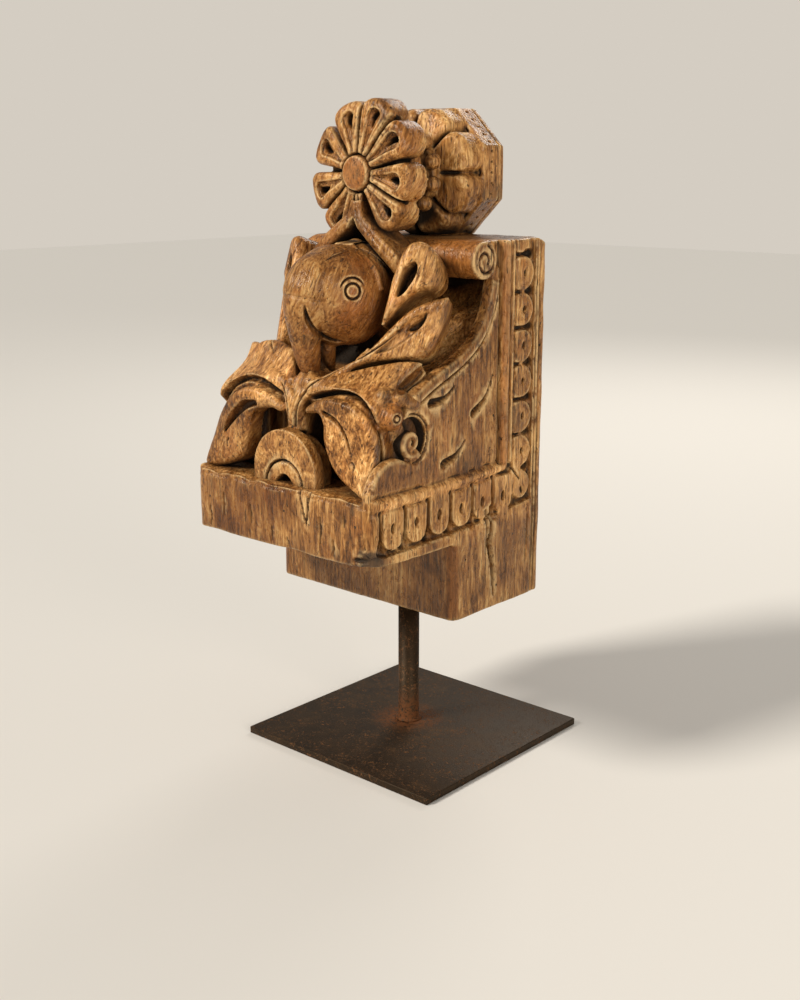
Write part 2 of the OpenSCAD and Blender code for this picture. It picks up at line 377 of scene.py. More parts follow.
def shaped(name, piece, bm, deepCuts, fineCuts):
    # fuse the parts, cut the deep places, fuse again, then the fine lines and the wear
    mesh = fused(meshOf(bm, name), piece["voxel"])
    co = spots(mesh)
    deepCuts(co)
    put(mesh, co)
    mesh = fused(mesh, piece["voxel"])
    co = relaxed(spots(mesh), links(mesh), carving["soften"])
    put(mesh, co)
    way = normals(mesh)
    swell = roughly(co, carving["swellSize"], 1) + 0.5 * roughly(co, carving["rippleSize"], 2)
    co = co + way * (swell * carving["uneven"] * 0.6)[:, None]
    tool = roughly(co * (1, 1, 0.45), carving["toolSize"], 3)
    co = co + way * (tool * carving["uneven"] * 0.3)[:, None]
    fineCuts(co)
    put(mesh, co)
    wood[name] = mesh, piece["triangles"]
    print("shaped", name, len(mesh.vertices))


# the block with its ledge, side mouldings and scrolls
print("block")
block = dict(
    voxel=1.1, triangles=198000, top=420, shelf=243, ledge=194, tenon=-57, wall=85, sunk=90.5,
    rim=[(-13, 391), (-19, 370), (-29, 354), (-44, 342), (-63, 333), (-83, 325), (-103, 315)],
    roll=(-23, 406), rollR=14, well=(-104, 283), scallops=7, scallopStep=28, scallopR=12.9,
    tongues=6, tongueStep=26, tongueR=11.4,
    frontSplits=[(-62, 232, -26, 1.3), (-31, 226, -20, 0.9), (-8, 213, -16, 1.1), (44, 229, -24, 1.2),
                 (57, 214, -17, 1.5), (68, 234, -13, 1.0), (-78, 216, -19, 1.2), (9, 205, -9, 1.0)],
    backSplits=[(-40, 392, -150), (22, 330, -110), (55, 410, -60), (-70, 240, -90), (6, 190, -56)])
top, shelf, ledge, tenon, sunk = (block[key] for key in ("top", "shelf", "ledge", "tenon", "sunk"))
wellY, wellZ = block["well"]


def scallopZ(i):
    return 254 + block["scallopStep"] * i


def tongueY(i):
    return frontY + 25 + block["tongueStep"] * i


def arcOf(cy, cz, r, a0, a1, n):
    return [(cy + r * math.cos(math.radians(a0 + (a1 - a0) * k / n)),
             cz + r * math.sin(math.radians(a0 + (a1 - a0) * k / n))) for k in range(n + 1)]


def rimLine(inset=0.0, n=40):
    # the sweep of the side wall's front edge, moved into the wall by inset
    p = along([(0, y, z) for y, z in block["rim"]], np.linspace(0, 1, n))
    d = unit(np.gradient(p, axis=0))
    away = np.stack([0 * d[:, 0], -d[:, 2], d[:, 1]], axis=1)
    return p + away * inset


def wallOutline(worn=False):
    sweep = [(y, z) for _, y, z in rimLine()]
    bite = arcOf(wellY, wellZ, 17, 118, -92, 16)
    hump = [(-118, 271.5), (-128, 270.5), (-137, 266.5), (-144, 259), (-148.5, 250)]
    if worn:
        hump = [(-112, 262), (-113, 250), (-114, 246), (-130, 244)]
    return ([(backY, footZ), (backY, top), (-19, top), (-15, 398)] + sweep + [(-108, 308)] + bite
            + hump + [(frontY, 244), (frontY, ledge), (tenon, ledge), (tenon, footZ)])


def coreOutline():
    hollow = [(y, z) for _, y, z in rimLine(10.5)][9:]
    behind = [(backY, footZ), (backY, top), (-19, top), (-14, 404), (4, 402), (14, 394), (12, 382),
              (3, 370)]
    before = [(-104, 300), (-104, shelf), (frontY, shelf), (frontY, ledge), (tenon, ledge),
              (tenon, footZ)]
    return behind + hollow + before


def raised(bm, y0, z0, y1, z1):
    # box standing out from the side's sunk ground, on both sides
    addBox(bm, (sunk - 1, y0, z0), (halfWide, y1, z1), sides=2)


def disc(bm, y, z, r):
    addBar(bm, (sunk - 1, y, z), (halfWide, y, z), r, sides=2)


def addSideRelief(bm):
    floor, face = sunk - 1, halfWide
    panel = [(-2.5, 246), (-2.5, 400), (-13, 400)] + [(y, z) for _, y, z in rimLine(1.0)]
    panel += [(-106, 308)] + arcOf(wellY, wellZ, 17.2, 118, -92, 14)
    hump = [(-118, 271), (-128, 270), (-137, 266), (-144, 258.5), (-148, 246)]
    addSlab(bm, panel + hump, floor, face - 1.6)
    addSlab(bm, panel + [(-112, 262), (-113, 246)], -floor, 1.6 - face)
    strip = [(face - 4, y, z) for _, y, z in rimLine(4.8, 24)]
    flatStrip = lambda t, s, w: 4.4 - 1.4 * np.abs(s) ** 3
    addBlade(bm, strip, [4.4, 4.4], [4.4, 4.4], xRight, flatStrip, 7, 60, 12, sides=2)
    raised(bm, 11.8, 247, 15.3, top)
    addBar(bm, (91.0, 6.4, 246), (91.0, 6.4, top), 4.6, sides=2)
    raised(bm, 41.8, footZ, backY, top)
    r = block["scallopR"]
    for i in range(block["scallops"]):
        z = scallopZ(i)
        if z + r < top:
            disc(bm, 26, z, r)
            raised(bm, 17.4, z - r + 0.4, 26, z + r - 0.4)
    raised(bm, 17.4, 409.6, 26, top)
    raised(bm, 25, 412, 33.5, top)
    disc(bm, 28, 226.5, 11.4)
    disc(bm, 22, 233.5, 10)
    r = block["tongueR"]
    for i in range(block["tongues"]):
        y, z = tongueY(i), 216.5 + i * 0.6
        disc(bm, y, z, r)
        raised(bm, y - r + 0.3, z, y + r - 0.3, 238)
    raised(bm, frontY, 196, frontY + 9.8, 240)
    fillet = [(frontY, ledge), (tenon, ledge), (tenon, footZ), (42.5, footZ), (42.5, 213), (30, 210.8),
              (4, 208.2), (-20, 205.2), (-50, 203.6), (-90, 202.4), (-125, 201.6), (frontY, 201.4)]
    addSlab(bm, fillet, floor, face, sides=2)
    bead = [(91.6, frontY + 1, 240.6), (91.8, -100, 240.8), (91.8, -50, 242), (91.8, 7, 245.2)]
    addTube(bm, bead, [4.4, 4.3, 4.4, 4.2], rows=40, cols=24, sides=2)


def addScroll(bm):
    # curled tongue in a deep round hollow, on both sides
    line = []
    for k in range(61):
        u = k / 60
        a = math.radians(318 - 590 * u)
        r = 11.0 - 9.6 * u ** 0.8
        line.append((80, -102.5 + r * math.cos(a), 280 + r * math.sin(a)))
    band = lambda t, s, w: 13.4 - 2.6 * np.abs(s) ** 2
    wide = [2.9, 2.6, 2.3, 2.0, 1.7, 1.5]
    addBlade(bm, line, wide, wide, xRight, band, 12, 160, 12, sides=2)


def sideCut(co, line, width, depth, **shape):
    # a gouge in the side face
    cut(co, [(halfWide, y, z) for y, z in line], width, depth, (-1, 0, 0), **shape)


def blockCuts(co):
    # rounded corners, the pits and notches of the borders, the wells and the quirks
    roundCorners(co)
    sideCut(co, [(28.5, 223), (30, 220)], 1.5, 4)
    rollY, rollZ = block["roll"]
    left = step(-co[:, 0], 76, 95) * (co[:, 1] < -2) * (co[:, 2] > 386)
    co[:, 1] += left * 0.42 * (rollY - co[:, 1]) * (co[:, 1] < rollY)
    co[:, 2] += left * 0.42 * (rollZ - co[:, 2])
    for i in range(block["scallops"]):
        z = scallopZ(i)
        if i < block["scallops"] - 1:
            sideCut(co, [(27.3, z - 1.6), (28.7, z + 1.6)], 1.7, 7.0, taper=[0.7, 1, 0.7])
        notch = [(17, z - 14), (27, z - 14), (34, z - 14), (38.5, z - 14)]
        sideCut(co, notch, 2.2, 4.6, taper=[0.30, 0.38, 0.8, 1.7])
    for i in range(block["tongues"]):
        y = tongueY(i)
        sideCut(co, [(y - 0.5, 218.5), (y + 0.5, 225)], 1.7, 7.0, taper=[0.7, 1.1, 0.5])
        notch = [(y - 13, 236), (y - 13, 225), (y - 13, 216), (y - 13, 206)]
        sideCut(co, notch, 2.2, 4.6, taper=[0.32, 0.42, 0.9, 1.9])
    radius, across = np.hypot(co[:, 1] - wellY, co[:, 2] - wellZ), np.abs(co[:, 0])
    well = (1 - step(radius, 14.5, 16.5)) * (1 - step(across, 87.5, 90)) * (across > 78)
    co[:, 0] -= np.sign(co[:, 0]) * 9 * well
    sideCut(co, [(16.3, 246), (16.3, top)], 1.0, 4.0)
    sideCut(co, [(11.3, 246), (11.3, top)], 1.1, 4.0)
    sideCut(co, [(-0.6, 248), (-0.6, 418)], 1.6, 5.0)
    sideCut(co, [(-1, 250.6), (-50, 247.6), (-100, 246.4), (-147, 246.2)], 0.9, 2.6)
    sideCut(co, [(9, 240), (-50, 236.6), (-100, 235.4), (-147, 235.2)], 0.8, 2.4)


def blockLines(co):
    # fine lines, cracks, chips and splits
    face = halfWide
    into = (-1, 0, 0)
    seam = [(face - 0.4, y, z) for _, y, z in rimLine(9.6, 24)]
    cut(co, seam, 1.35, 4.0, into)
    for tip, tail, bow in (((-83, 306.5), (-55, 317), -3.2), ((-33, 292.5), (-9, 320), -4.2),
                           ((-68, 259), (-42, 274), -3.0)):
        mid = ((tip[0] + tail[0]) / 2 - bow * 0.6, (tip[1] + tail[1]) / 2 + bow)
        line = [(face - 0.9, *tip), (face - 0.9, *mid), (face - 0.9, *tail)]
        cut(co, line, 3.1, 6.0, into, taper=[1.0, 0.8, 0.45, 0.15])
    scroll = ring((face, -23, 405.5), 11.8, yBack, zUp, 75, -395, 0.72, 44)
    cut(co, scroll, 1.0, 2.8, into)
    cut(co, ring((face, -104, 283.5), 18.4, yBack, zUp, 96, -84), 0.8, 2.6, into)
    for y, deep in ((43.8, 2.2), (47.2, 1.5)):
        wander = [(y, footZ), (y + 0.4, 220), (y - 0.3, 320), (y, top)]
        sideCut(co, wander, 0.75, deep)
    for i in range(block["tongues"]):
        cut(co, ring((face, tongueY(i), 220), 6.8, yBack, zUp, 165, 375), 0.5, 0.45, into)
        cut(co, ring((face, 27, scallopZ(i)), 8.2, yBack, zUp, -80, 80), 0.55, 0.45, into)
    crack = [(-12, 216), (-9, 198), (-12, 184), (-8, 166), (-6, 142)]
    sideCut(co, crack, 2.2, 8.0, taper=[0.5, 1.0, 1.2, 1.0, 0.5], both=False)
    second = [(-17, 213), (-15, 196), (-17.5, 178)]
    sideCut(co, second, 1.4, 5.0, taper=[1, 1, 0.4], both=False)
    sideCut(co, [(36, 205), (37, 188), (35.5, 160)], 0.7, 2.0, taper=[0.5, 1, 0.3])
    for x in ((22, 26, 29.5), (34, 32, 30)):
        leg = [(x[0], frontY, 244), (x[1], frontY, 231), (x[2], frontY, 218)]
        cut(co, leg, 0.85, 2.4, (0, 1, 0), both=False)
    for x, z, run, deep in block["frontSplits"]:
        split = [(x, frontY, z), (x + 1.2, frontY, z + run * 0.5), (x + 0.4, frontY, z + run)]
        cut(co, split, 0.75, deep * 1.8, yBack, taper=[0.3, 1, 0.3], both=False)
    for x, z, run in block["backSplits"]:
        split = [(x, backY, z), (x + 1.5, backY, z + run * 0.4), (x - 0.8, backY, z + run * 0.7),
                 (x + 0.5, backY, z + run)]
        cut(co, split, 1.1, 3.6, (0, -1, 0), taper=[0.3, 1, 1, 0.3], both=False)
    rearEdge = 1 - step(np.hypot(np.abs(co[:, 0]) - halfWide, co[:, 1] - backY), 2, 9)
    co[:, 1] -= rearEdge * (0.8 + 1.0 * roughly(co, 19, 12))
    near = np.hypot((co[:, 0] - 91) / 13, (co[:, 2] - 196) / 11) + 0.35 * roughly(co, 4.5, 8)
    co[:, 1] += 5.5 * (1 - step(near, 0.4, 1.0)) * (co[:, 1] < -128)
    lip = (1 - step(np.abs(co[:, 2] - shelf), 1, 6)) * (1 - step(np.abs(co[:, 1] - frontY), 2, 8))
    co[:, 2] -= lip * (1.3 + 1.3 * roughly(co, 12, 9))
    co[:, 1] += lip * (1.1 + 1.1 * roughly(co, 13, 10))
    rearTop = step(co[:, 2], 408, top) * step(co[:, 1], 44, backY) * step(np.abs(co[:, 0]), 80, halfWide)
    co[:, 2] -= rearTop * 4.5
    foot = (1 - step(np.abs(co[:, 2] - 195), 1, 7)) * (co[:, 1] < -100)
    co[:, 2] += foot * (0.8 + 0.9 * roughly(co, 22, 11))
    nail = [(17, 241), (21, 236), (26, 231)]
    sideCut(co, nail, 1.0, 3.0, taper=[1.2, 0.8, 0.5], both=False)


def roundCorners(co):
    # the upright corners of the ledge, the tenon and the back
    for cx, cy, sy, r, z0, z1 in ((85, -140, -1, 10, 190, 245), (89.5, -51.5, -1, 5, 120, 193),
                                  (89, 51, 1, 6, 120, 430)):
        ax = np.abs(co[:, 0]) - cx
        ay = (co[:, 1] - cy) * sy
        gap = np.hypot(ax, ay)
        near = (ax > 0) & (ay > 0) & (gap > r) & (co[:, 2] > z0) & (co[:, 2] < z1)
        k = r / gap[near]
        co[near, 0] = np.sign(co[near, 0]) * (cx + ax[near] * k)
        co[near, 1] = cy + sy * ay[near] * k


bm = bmesh.new()
addSlab(bm, coreOutline(), -87, 87)
addSlab(bm, wallOutline(), block["wall"], sunk)
addSlab(bm, wallOutline(True), -block["wall"], -sunk)
addBox(bm, (-halfWide, frontY, ledge), (halfWide, frontY + 8, shelf))
addBox(bm, (-halfWide, frontY, 242), (halfWide, -100, 243.2))
addBox(bm, (-halfWide + 2, tenon, footZ), (halfWide - 2, -50, 196))
addBar(bm, (-halfWide, *block["roll"]), (halfWide, *block["roll"]), block["rollR"])
addSideRelief(bm)
addScroll(bm)
shaped("corbelBlock", block, bm, blockCuts, blockLines)

# front leaves, hoods, side leaves, stems and the arch; each outline runs round a leaf's edge
print("leaves")
leaves = dict(
    voxel=0.85, triangles=198000, archR=33,
    droop=[(12, -132, 297), (20, -134, 304), (32, -135, 309.5), (48, -136, 312), (64, -134, 309),
           (76, -132, 300), (83, -130, 288), (85, -130, 273), (84, -134, 258), (82, -139, 242),
           (67, -137, 246), (52, -136, 254), (42, -136, 266), (37, -136, 279), (36, -136, 291),
           (31, -136, 298.5), (22, -134, 298)],
    left=[(-9, -132, 300), (-22, -134, 307), (-42, -136, 311), (-62, -135, 304), (-77, -133, 290),
          (-88, -132, 270), (-94, -136, 250), (-91, -139, 243), (-74, -137, 245), (-52, -136, 255),
          (-46, -136, 268), (-43, -136, 282), (-38, -136, 293), (-22, -134, 297), (-12, -133, 295)],
    lobe=[(-5, -125, 317), (-12, -117, 326), (-20, -109, 336), (-38, -104, 342), (-54, -102, 342.5),
          (-66, -102, 339), (-69, -107, 331), (-60, -115, 324), (-40, -121, 319), (-20, -126, 315)],
    hood=[(12, -127, 320), (28, -122, 324), (41, -114, 328), (58, -103, 333), (75, -94, 337),
          (88, -88, 336.5), (90, -89.5, 334), (84, -101, 324), (82, -112, 317), (84, -124, 309),
          (85, -130, 298), (77, -131, 306), (61, -130, 312), (45, -131, 315), (30, -131, 315),
          (14, -130, 311)],
    point=[(28, -122, 325), (45, -109, 337), (54, -98, 349), (61, -88, 361), (69, -80, 371),
           (79, -71, 378), (91, -62, 382), (92.5, -61.5, 381), (92, -65, 368), (90, -70, 354),
           (87, -75, 343), (81, -81, 337), (70, -91, 337), (57, -100, 336), (44, -110, 331),
           (30, -121, 320)],
    curled=[(40, -106, 336), (47, -97, 347), (50, -90, 359), (50, -82, 377), (50, -76, 393),
            (52, -70, 408), (57, -65, 418), (65, -60, 420), (73, -56, 414), (78, -54, 403),
            (79, -56, 392), (76, -62, 386), (70, -69, 385), (62, -76, 378), (57, -83, 369),
            (52, -89, 360), (49, -96, 347), (44, -105, 334)])
bm = bmesh.new()
addLeaf(bm, leaves["droop"], (0.1, -1, 0.08), 24, 4, 8)
addLeaf(bm, leaves["left"], (-0.1, -1, 0.08), 13, 4, 8)
addLeaf(bm, leaves["lobe"], (-0.1, -0.75, 0.65), 16, 2.5, 6)
addLeaf(bm, leaves["hood"], (0.2, -0.6, 0.77), 18, 2.4, 4, sides=2)
stalk = [(52, -119, 318), (66, -121, 312), (77, -119, 303), (83, -114, 290), (84, -111, 275),
         (82, -112, 262), (82, -114, 246)]
addBlade(bm, stalk, [4, 6, 8, 8, 7, 6, 5], [4, 7, 8, 7, 6, 6, 6], (0.6, -0.78, 0.15),
         lambda t, s, w: -3 * np.abs(s) ** 2.2, 22, 80, 30, sides=2)
addBall(bm, (84.5, -118, 301), (9.5, 10, 10))
addBall(bm, (86, -109, 313), (7, 8, 6))
addBall(bm, (79, -117, 315), (6.5, 8, 6))
addBall(bm, (90, -101, 309), (5.5, 8, 6))
addBall(bm, (-80, -108, 304), (10, 12, 12))
addLeaf(bm, leaves["point"], (0.5, -0.8, 0.33), 24, 3, 3.5)
addLeaf(bm, [(-0.9 * x, y + 5, z - 3) for x, y, z in leaves["point"]], (-0.5, -0.8, 0.33), 24, 3, 6)
addLeaf(bm, leaves["curled"], (0.4, -0.85, 0.33), 24, 5, 7, sides=2)
rib = [(2, -131, 282), (3, -132, 295), (7, -130, 307), (15, -125, 316), (30, -118, 325), (46, -108, 336)]
addBlade(bm, rib, [5, 5, 5, 4, 3.5, 2], [4.5, 4.5, 4.5, 4, 3.5, 2], (0.25, -0.9, 0.35),
         lambda t, s, w: 2.2 * (1 - s ** 2), 20, 80, 20, sides=2)
addBall(bm, (5, -117, 316), (16, 8, 7))
addBlade(bm, [(0, -128, 282), (0, -130, 300), (0, -124, 317), (0, -116, 328)],
         [6, 6, 7, 3], [10, 9, 10, 5], (0, -0.95, 0.3),
         lambda t, s, w: 1.0 * np.cos(s * 9), 22, 50, 24)
addBar(bm, (0, -132, 251), (0, -143, 251), leaves["archR"], 96)
addBar(bm, (0, -120, 250), (0, -134, 250), leaves["archR"] - 4, 96)
addBox(bm, (-leaves["archR"], -143, 238), (leaves["archR"], -132, 251))
addBox(bm, (-84, -92, 240), (84, -60, 300))
addBox(bm, (-70, -88, 290), (70, -50, 312))
addBox(bm, (-8, -126, 246), (8, -80, 312))
addBox(bm, (48, -112, 244), (84, -80, 312), sides=2)


def leafCuts(co):
    # the arch's opening, the gaps between leaves, and the slits and slots in them
    into = (0, 1, 0)
    opening = [(-9, -143, 238), (-9, -143, 243), (-5, -143, 248), (0, -143, 250), (5, -143, 248),
               (9, -143, 243), (9, -143, 238)]
    sink(co, opening, into, 12, 0.8, both=False)
    arcGap = [(16, -133, 309), (33, -135, 314), (50, -135, 316.5), (65, -134, 313), (76, -132, 305),
              (82, -131, 295)]
    cut(co, arcGap, 1.8, 9, (0, 1, -0.15), taper=[0.8, 1, 1, 1, 0.9, 0.4])
    leftGap = [(-18, -134, 310.5), (-34, -135, 315.5), (-52, -135, 316.5), (-68, -134, 311),
               (-80, -132, 301)]
    cut(co, leftGap, 2.6, 8, (0, 1, -0.15), taper=[0.7, 1, 1, 1, 0.8], both=False)
    sideGap = [(86, -126, 293), (87, -125.5, 276), (86, -127, 260), (85, -130, 246)]
    cut(co, sideGap, 1.5, 7, (-1, 0, 0), taper=[0.5, 1, 1, 0.8], both=False)
    underHood = [(84, -110, 318), (85, -105, 323.5), (88, -98, 330), (91.5, -90, 335.5), (93.5, -87, 333),
                 (92.5, -94, 325), (89.5, -102, 319), (86, -108, 316)]
    sink(co, underHood, (-0.7, 0.6, -0.1), 5, 1.0, 16)
    slit = [(37, -136, 301), (50, -137, 296), (59, -137, 286), (64, -137, 274)]
    cut(co, slit, 1.5, 6, into, taper=[0.9, 1, 0.9, 0.5], both=False)
    leftSlit = [(-36, -137, 299), (-47, -137, 296.5), (-58, -137, 289), (-66, -137, 281),
                (-72, -136, 273)]
    cut(co, leftSlit, 3.2, 8, into, taper=[0.6, 1, 1.1, 0.9, 0.4], both=False)
    intoPoint, intoCurl = (-0.5, 0.8, -0.33), (-0.4, 0.85, -0.33)
    slotTwo = [(54, -101, 341), (62, -92, 352), (69, -84, 363), (77, -77, 369), (82, -73, 371),
               (80, -77, 361), (73, -85, 352), (64, -94, 344)]
    sink(co, slotTwo, intoPoint, 3.8, 1.6)
    slotEnd = [(71, -84, 360), (77, -78, 366), (81, -74, 369), (79, -78, 361), (74, -82, 358)]
    sink(co, slotEnd, intoPoint, 4, 1.2, 16)
    slotOne = [(57, -79, 381), (56, -75, 391), (58, -71, 401), (64, -67, 406), (67, -68, 400),
               (65, -72, 391), (61, -76, 383)]
    sink(co, slotOne, intoCurl, 15, 1.2, 16)


def leafLines(co):
    # fine lines on the arch, the leaves, the stems and the small knob
    into = (0, 1, 0)
    cut(co, ring((0, -143, 241), 19.5, xRight, zUp, -5, 185), 1.2, 3.6, into, both=False)
    cut(co, [(66, -138, 268), (68, -138, 265.5), (67.5, -138, 262)], 0.8, 2.0, into)
    groove = [(3, -133, 286), (5, -133, 300), (11, -130, 312), (22, -124, 321), (38, -114, 332)]
    cut(co, groove, 0.9, 2.6, (0, 1, -0.2), taper=[1, 1, 1, 0.8, 0.3], both=False)
    cut(co, [(-4, -133, 290), (-6, -132, 303), (-14, -128, 315)], 0.9, 2.2, (0, 1, -0.2), both=False)
    band = [(40, -113, 334), (52, -104, 342), (60, -95, 350), (66, -88, 358)]
    cut(co, band, 0.9, 2.0, (-0.5, 0.8, -0.33), taper=[0.4, 1, 1, 1])
    knob = ring((93.8, -119.8, 300.5), 2.5, unit((0.25, 0.97, 0)), zUp)
    cut(co, knob, 0.7, 2.2, (-0.97, 0.25, 0))


shaped("corbelLeaves", leaves, bm, leafCuts, leafLines)

# bird's head with the forked stem above it
print("head")
head = dict(
    voxel=0.8, triangles=110000, cheek=(11, -81, 376), cheekRadii=(27, 33, 34), cheekRing=(27, -99, 376),
    eye=(29.5, -98, 385), eyeR=5.6,
    beak=[(0, -84, 398), (0, -101, 394), (0, -112, 386), (0, -117, 374), (0, -118, 360), (0, -117, 346),
          (0, -114, 331), (0, -111, 320)],
    beakHigh=[10, 19, 19, 17, 14, 11.5, 9, 5], beakWide=[10, 20, 20, 17, 13, 10.5, 8.5, 5],
    fork=[(0, -62, 448), (3, -64, 437), (12, -66, 429), (26, -67, 418), (41, -66, 405), (52, -63, 390)],
    forkWide=[5, 5, 5, 5.5, 5.5, 4])
bm = bmesh.new()
addBall(bm, (0, -86, 379), (37, 37, 38))
addBall(bm, head["cheek"], head["cheekRadii"], sides=2)
addBall(bm, (0, -64, 382), (36, 22, 36))
addTube(bm, head["beak"], head["beakHigh"], head["beakWide"])
addTube(bm, [(0, -88, 356), (0, -94, 344), (0, -93, 332), (0, -89, 322)], [7, 6.5, 5.5, 2.5])
forkLift = lambda t, s, w: 2.0 * (1 - np.abs(s) ** 1.5) - 1.5 * np.exp(-((s - 0.15) / 0.14) ** 2)
wide = head["forkWide"]
addBlade(bm, head["fork"], wide, wide, (0, -1, 0.15), forkLift, 34, 70, 24, sides=2)
collar = [(-37, -74, 384), (-30, -75, 400), (-14, -75, 411), (0, -74, 418), (14, -75, 411),
          (30, -75, 400), (37, -74, 384)]
addTube(bm, collar, [2.6, 2.4])
addBox(bm, (-24, -52, 336), (24, 16, 402))
addBox(bm, (-15, -46, 300), (15, -10, 345))
addBox(bm, (-30, -58, 380), (30, -16, 416))


def headCuts(co):
    # the cheek stands out from the beak as a ball
    into = (-0.66, 0.75, 0.1)
    cheek = ring(head["cheekRing"], 31.5, unit((0.75, 0.66, 0)), zUp, 176, 262)
    cut(co, cheek, 1.7, 5, into, taper=[0.3, 1, 1, 1, 0.5], reach=20)


def headLines(co):
    # the eye and its brow, the edge of the cap, and the pit in the stem's fork
    eye, across = head["eye"], unit((0.6, 0.8, 0))
    into = (-0.8, 0.6, 0)
    cut(co, ring(eye, head["eyeR"], across, zUp), 1.0, 3.0, into, reach=14)
    brow = ring(eye, head["eyeR"] + 4, across, zUp, 25, 165)
    cut(co, brow, 0.95, 2.8, into, taper=[0.3, 1, 1, 1, 0.3], reach=14)
    into = (-0.66, 0.75, 0.1)
    cap = ring(head["cheekRing"], 34.5, unit((0.75, 0.66, 0)), zUp, 15, 125)
    cut(co, cap, 0.9, 1.8, into, taper=[0.3, 1, 1, 0.3], reach=34, both=False)
    pit = [(-7, -66, 424), (0, -66, 435), (7, -66, 424), (11, -66, 418), (-11, -66, 418)]
    sink(co, pit, (0, 1, 0), 12, 1.0, 18, both=False)


shaped("birdHead", head, bm, headCuts, headLines)

# front flower; each petal has its angle, reach and width
print("flower")
roseZ = 468.6  # height of the middle of the flower and of the rosette behind it
flower = dict(
    voxel=0.8, triangles=150000, y=-62, boss=13.0, deep=20,
    petals=[(103, 53, 1.14), (67, 57, 1.04), (33, 55, 1.02), (-9, 50, 1.14), (-45, 53, 1.02),
            (238, 54, 1.04), (198, 53, 1.08), (150, 50, 1.22)],
    grooves=[-27, 12, 50, 85, 127, 174, 218, 262, 290, -68])


def petalOutline(angle, reach, y, start=11.5, wide=1.0, back=5.0):
    # teardrop petal that leaves the middle narrow and ends round, its end turned back
    shape = [(0, 0.10, 0), (0.22, 0.16, 0), (0.5, 0.25, 0), (0.76, 0.32, 1), (0.93, 0.24, 3), (1, 0, 5)]
    c, s = compass(angle)
    out = []
    for side, part in ((1, shape), (-1, shape[-2::-1])):
        for r, w, drop in part:
            d, q = start + (reach - start) * r, w * reach * wide * side * 0.78
            out.append((d * c - q * s, y + drop * back / 5, roseZ + d * s + q * c))
    return out


bm = bmesh.new()
for a, r, wide in flower["petals"]:
    addLeaf(bm, petalOutline(a, r, flower["y"] + 3, wide=wide), (0, -1, 0), flower["deep"], 3.5, 4.5)
addBar(bm, (0, -30, roseZ), (0, flower["y"] - 0.5, roseZ), flower["boss"])
addBall(bm, (0, flower["y"] - 0.5, roseZ), (13.2, 2.5, 13.2))
addBar(bm, (0, -52, roseZ), (0, -24, roseZ), 34)
addTube(bm, [(0, -40, roseZ), (0, -26, roseZ), (0, -8, roseZ), (0, 24, roseZ)], [38, 30, 24, 28], cols=48)
addBlade(bm, [(0, -60, 460), (0, -60, 450), (0, -61, 442), (0, -62, 435)],
         [4, 4.5, 5, 6], [4, 4.5, 5, 6], (0, -1, 0), lambda t, s, w: 2 * (1 - s * s), 26, 50, 24)


def petalSlot(angle, reach):
    # the sunk middle of a petal, and the pit at its outer end
    c, s = compass(angle)
    spot = lambda d, q: (d * c - q * s, flower["y"], roseZ + d * s + q * c)
    tail, end = 16.5, reach - 8.0
    mid = (tail + end) / 2
    slot = [spot(tail, 0.4), spot(mid, 3.2), spot(end - 3, 5.6), spot(end + 0.5, 0),
            spot(end - 3, -5.6), spot(mid, -3.2), spot(tail, -0.4)]
    pit = [spot(mid + 1, 0.3), spot(end - 6, 3.0), spot(end - 1, 2.0), spot(end - 1, -2.8),
           spot(end - 6, -1.0)]
    return slot, pit


def flowerCuts(co):
    for a, r, _ in flower["petals"]:
        slot, pit = petalSlot(a, r)
        sink(co, slot, yBack, 3.4, 1.0, both=False)
        sink(co, pit, yBack, 9, 1.2, both=False, reach=16)


def flowerLines(co):
    # round the middle, round the petals' slots, between the petals, and down the stem
    into = yBack
    cut(co, ring((0, flower["y"] - 1, roseZ), 13.9, xRight, zUp), 1.1, 4.6, into, both=False)
    for a, r, _ in flower["petals"]:
        slot = petalSlot(a, r)[0]
        cut(co, slot + slot[:1], 0.55, 1.5, into, both=False)
    for a in flower["grooves"]:
        c, s = compass(a)
        line = [(d * c, flower["y"], roseZ + d * s) for d in (14, 22, 32, 43, 54)]
        cut(co, line, 1.25, 8, into, taper=[0.6, 0.9, 1.1, 1.3, 1.6], both=False)
    for x in (-2.2, 2.0):
        cut(co, [(x * 0.5, -62, 454), (x, -62, 446), (x * 1.6, -62, 436)], 0.8, 1.8, into, both=False)


shaped("frontFlower", flower, bm, flowerCuts, flowerLines)

# octagonal rosette behind it, petals on its face and a ring of beads round its neck
print("rosette")
rosette = dict(voxel=0.9, triangles=130000, apothem=49.2, deep=26, dots=5, beads=12,
               beadRing=32.5, beadRadii=(6.4, 7, 6.4))
rosetteR = rosette["apothem"] / math.cos(math.pi / 8)
bm = bmesh.new()
octagon = bmesh.ops.create_cone(bm, cap_ends=True, segments=8, radius1=rosetteR, radius2=rosetteR,
                                depth=rosette["deep"])["verts"]
turn = Vector((0, -1, 0)).to_track_quat("Z", "Y").to_matrix()
bmesh.ops.rotate(bm, verts=octagon, matrix=turn)
angle = math.atan2(octagon[0].co.z, octagon[0].co.x)
bmesh.ops.rotate(bm, verts=octagon, matrix=Matrix.Rotation(angle - math.pi / 8, 3, "Y"))
bmesh.ops.translate(bm, verts=octagon, vec=(0, 44, roseZ))
for k in range(8):
    addLeaf(bm, petalOutline(22.5 + 45 * k, 50.5, 7, 10, 1.22, 11), (0, -1, 0), 26, 4, 4, 1.4)
addBar(bm, (0, 32, roseZ), (0, -4, roseZ), 27)
for k in range(rosette["beads"]):
    c, s = compass(15 + 30 * k)
    addBall(bm, (rosette["beadRing"] * c, -9, roseZ + rosette["beadRing"] * s), rosette["beadRadii"])


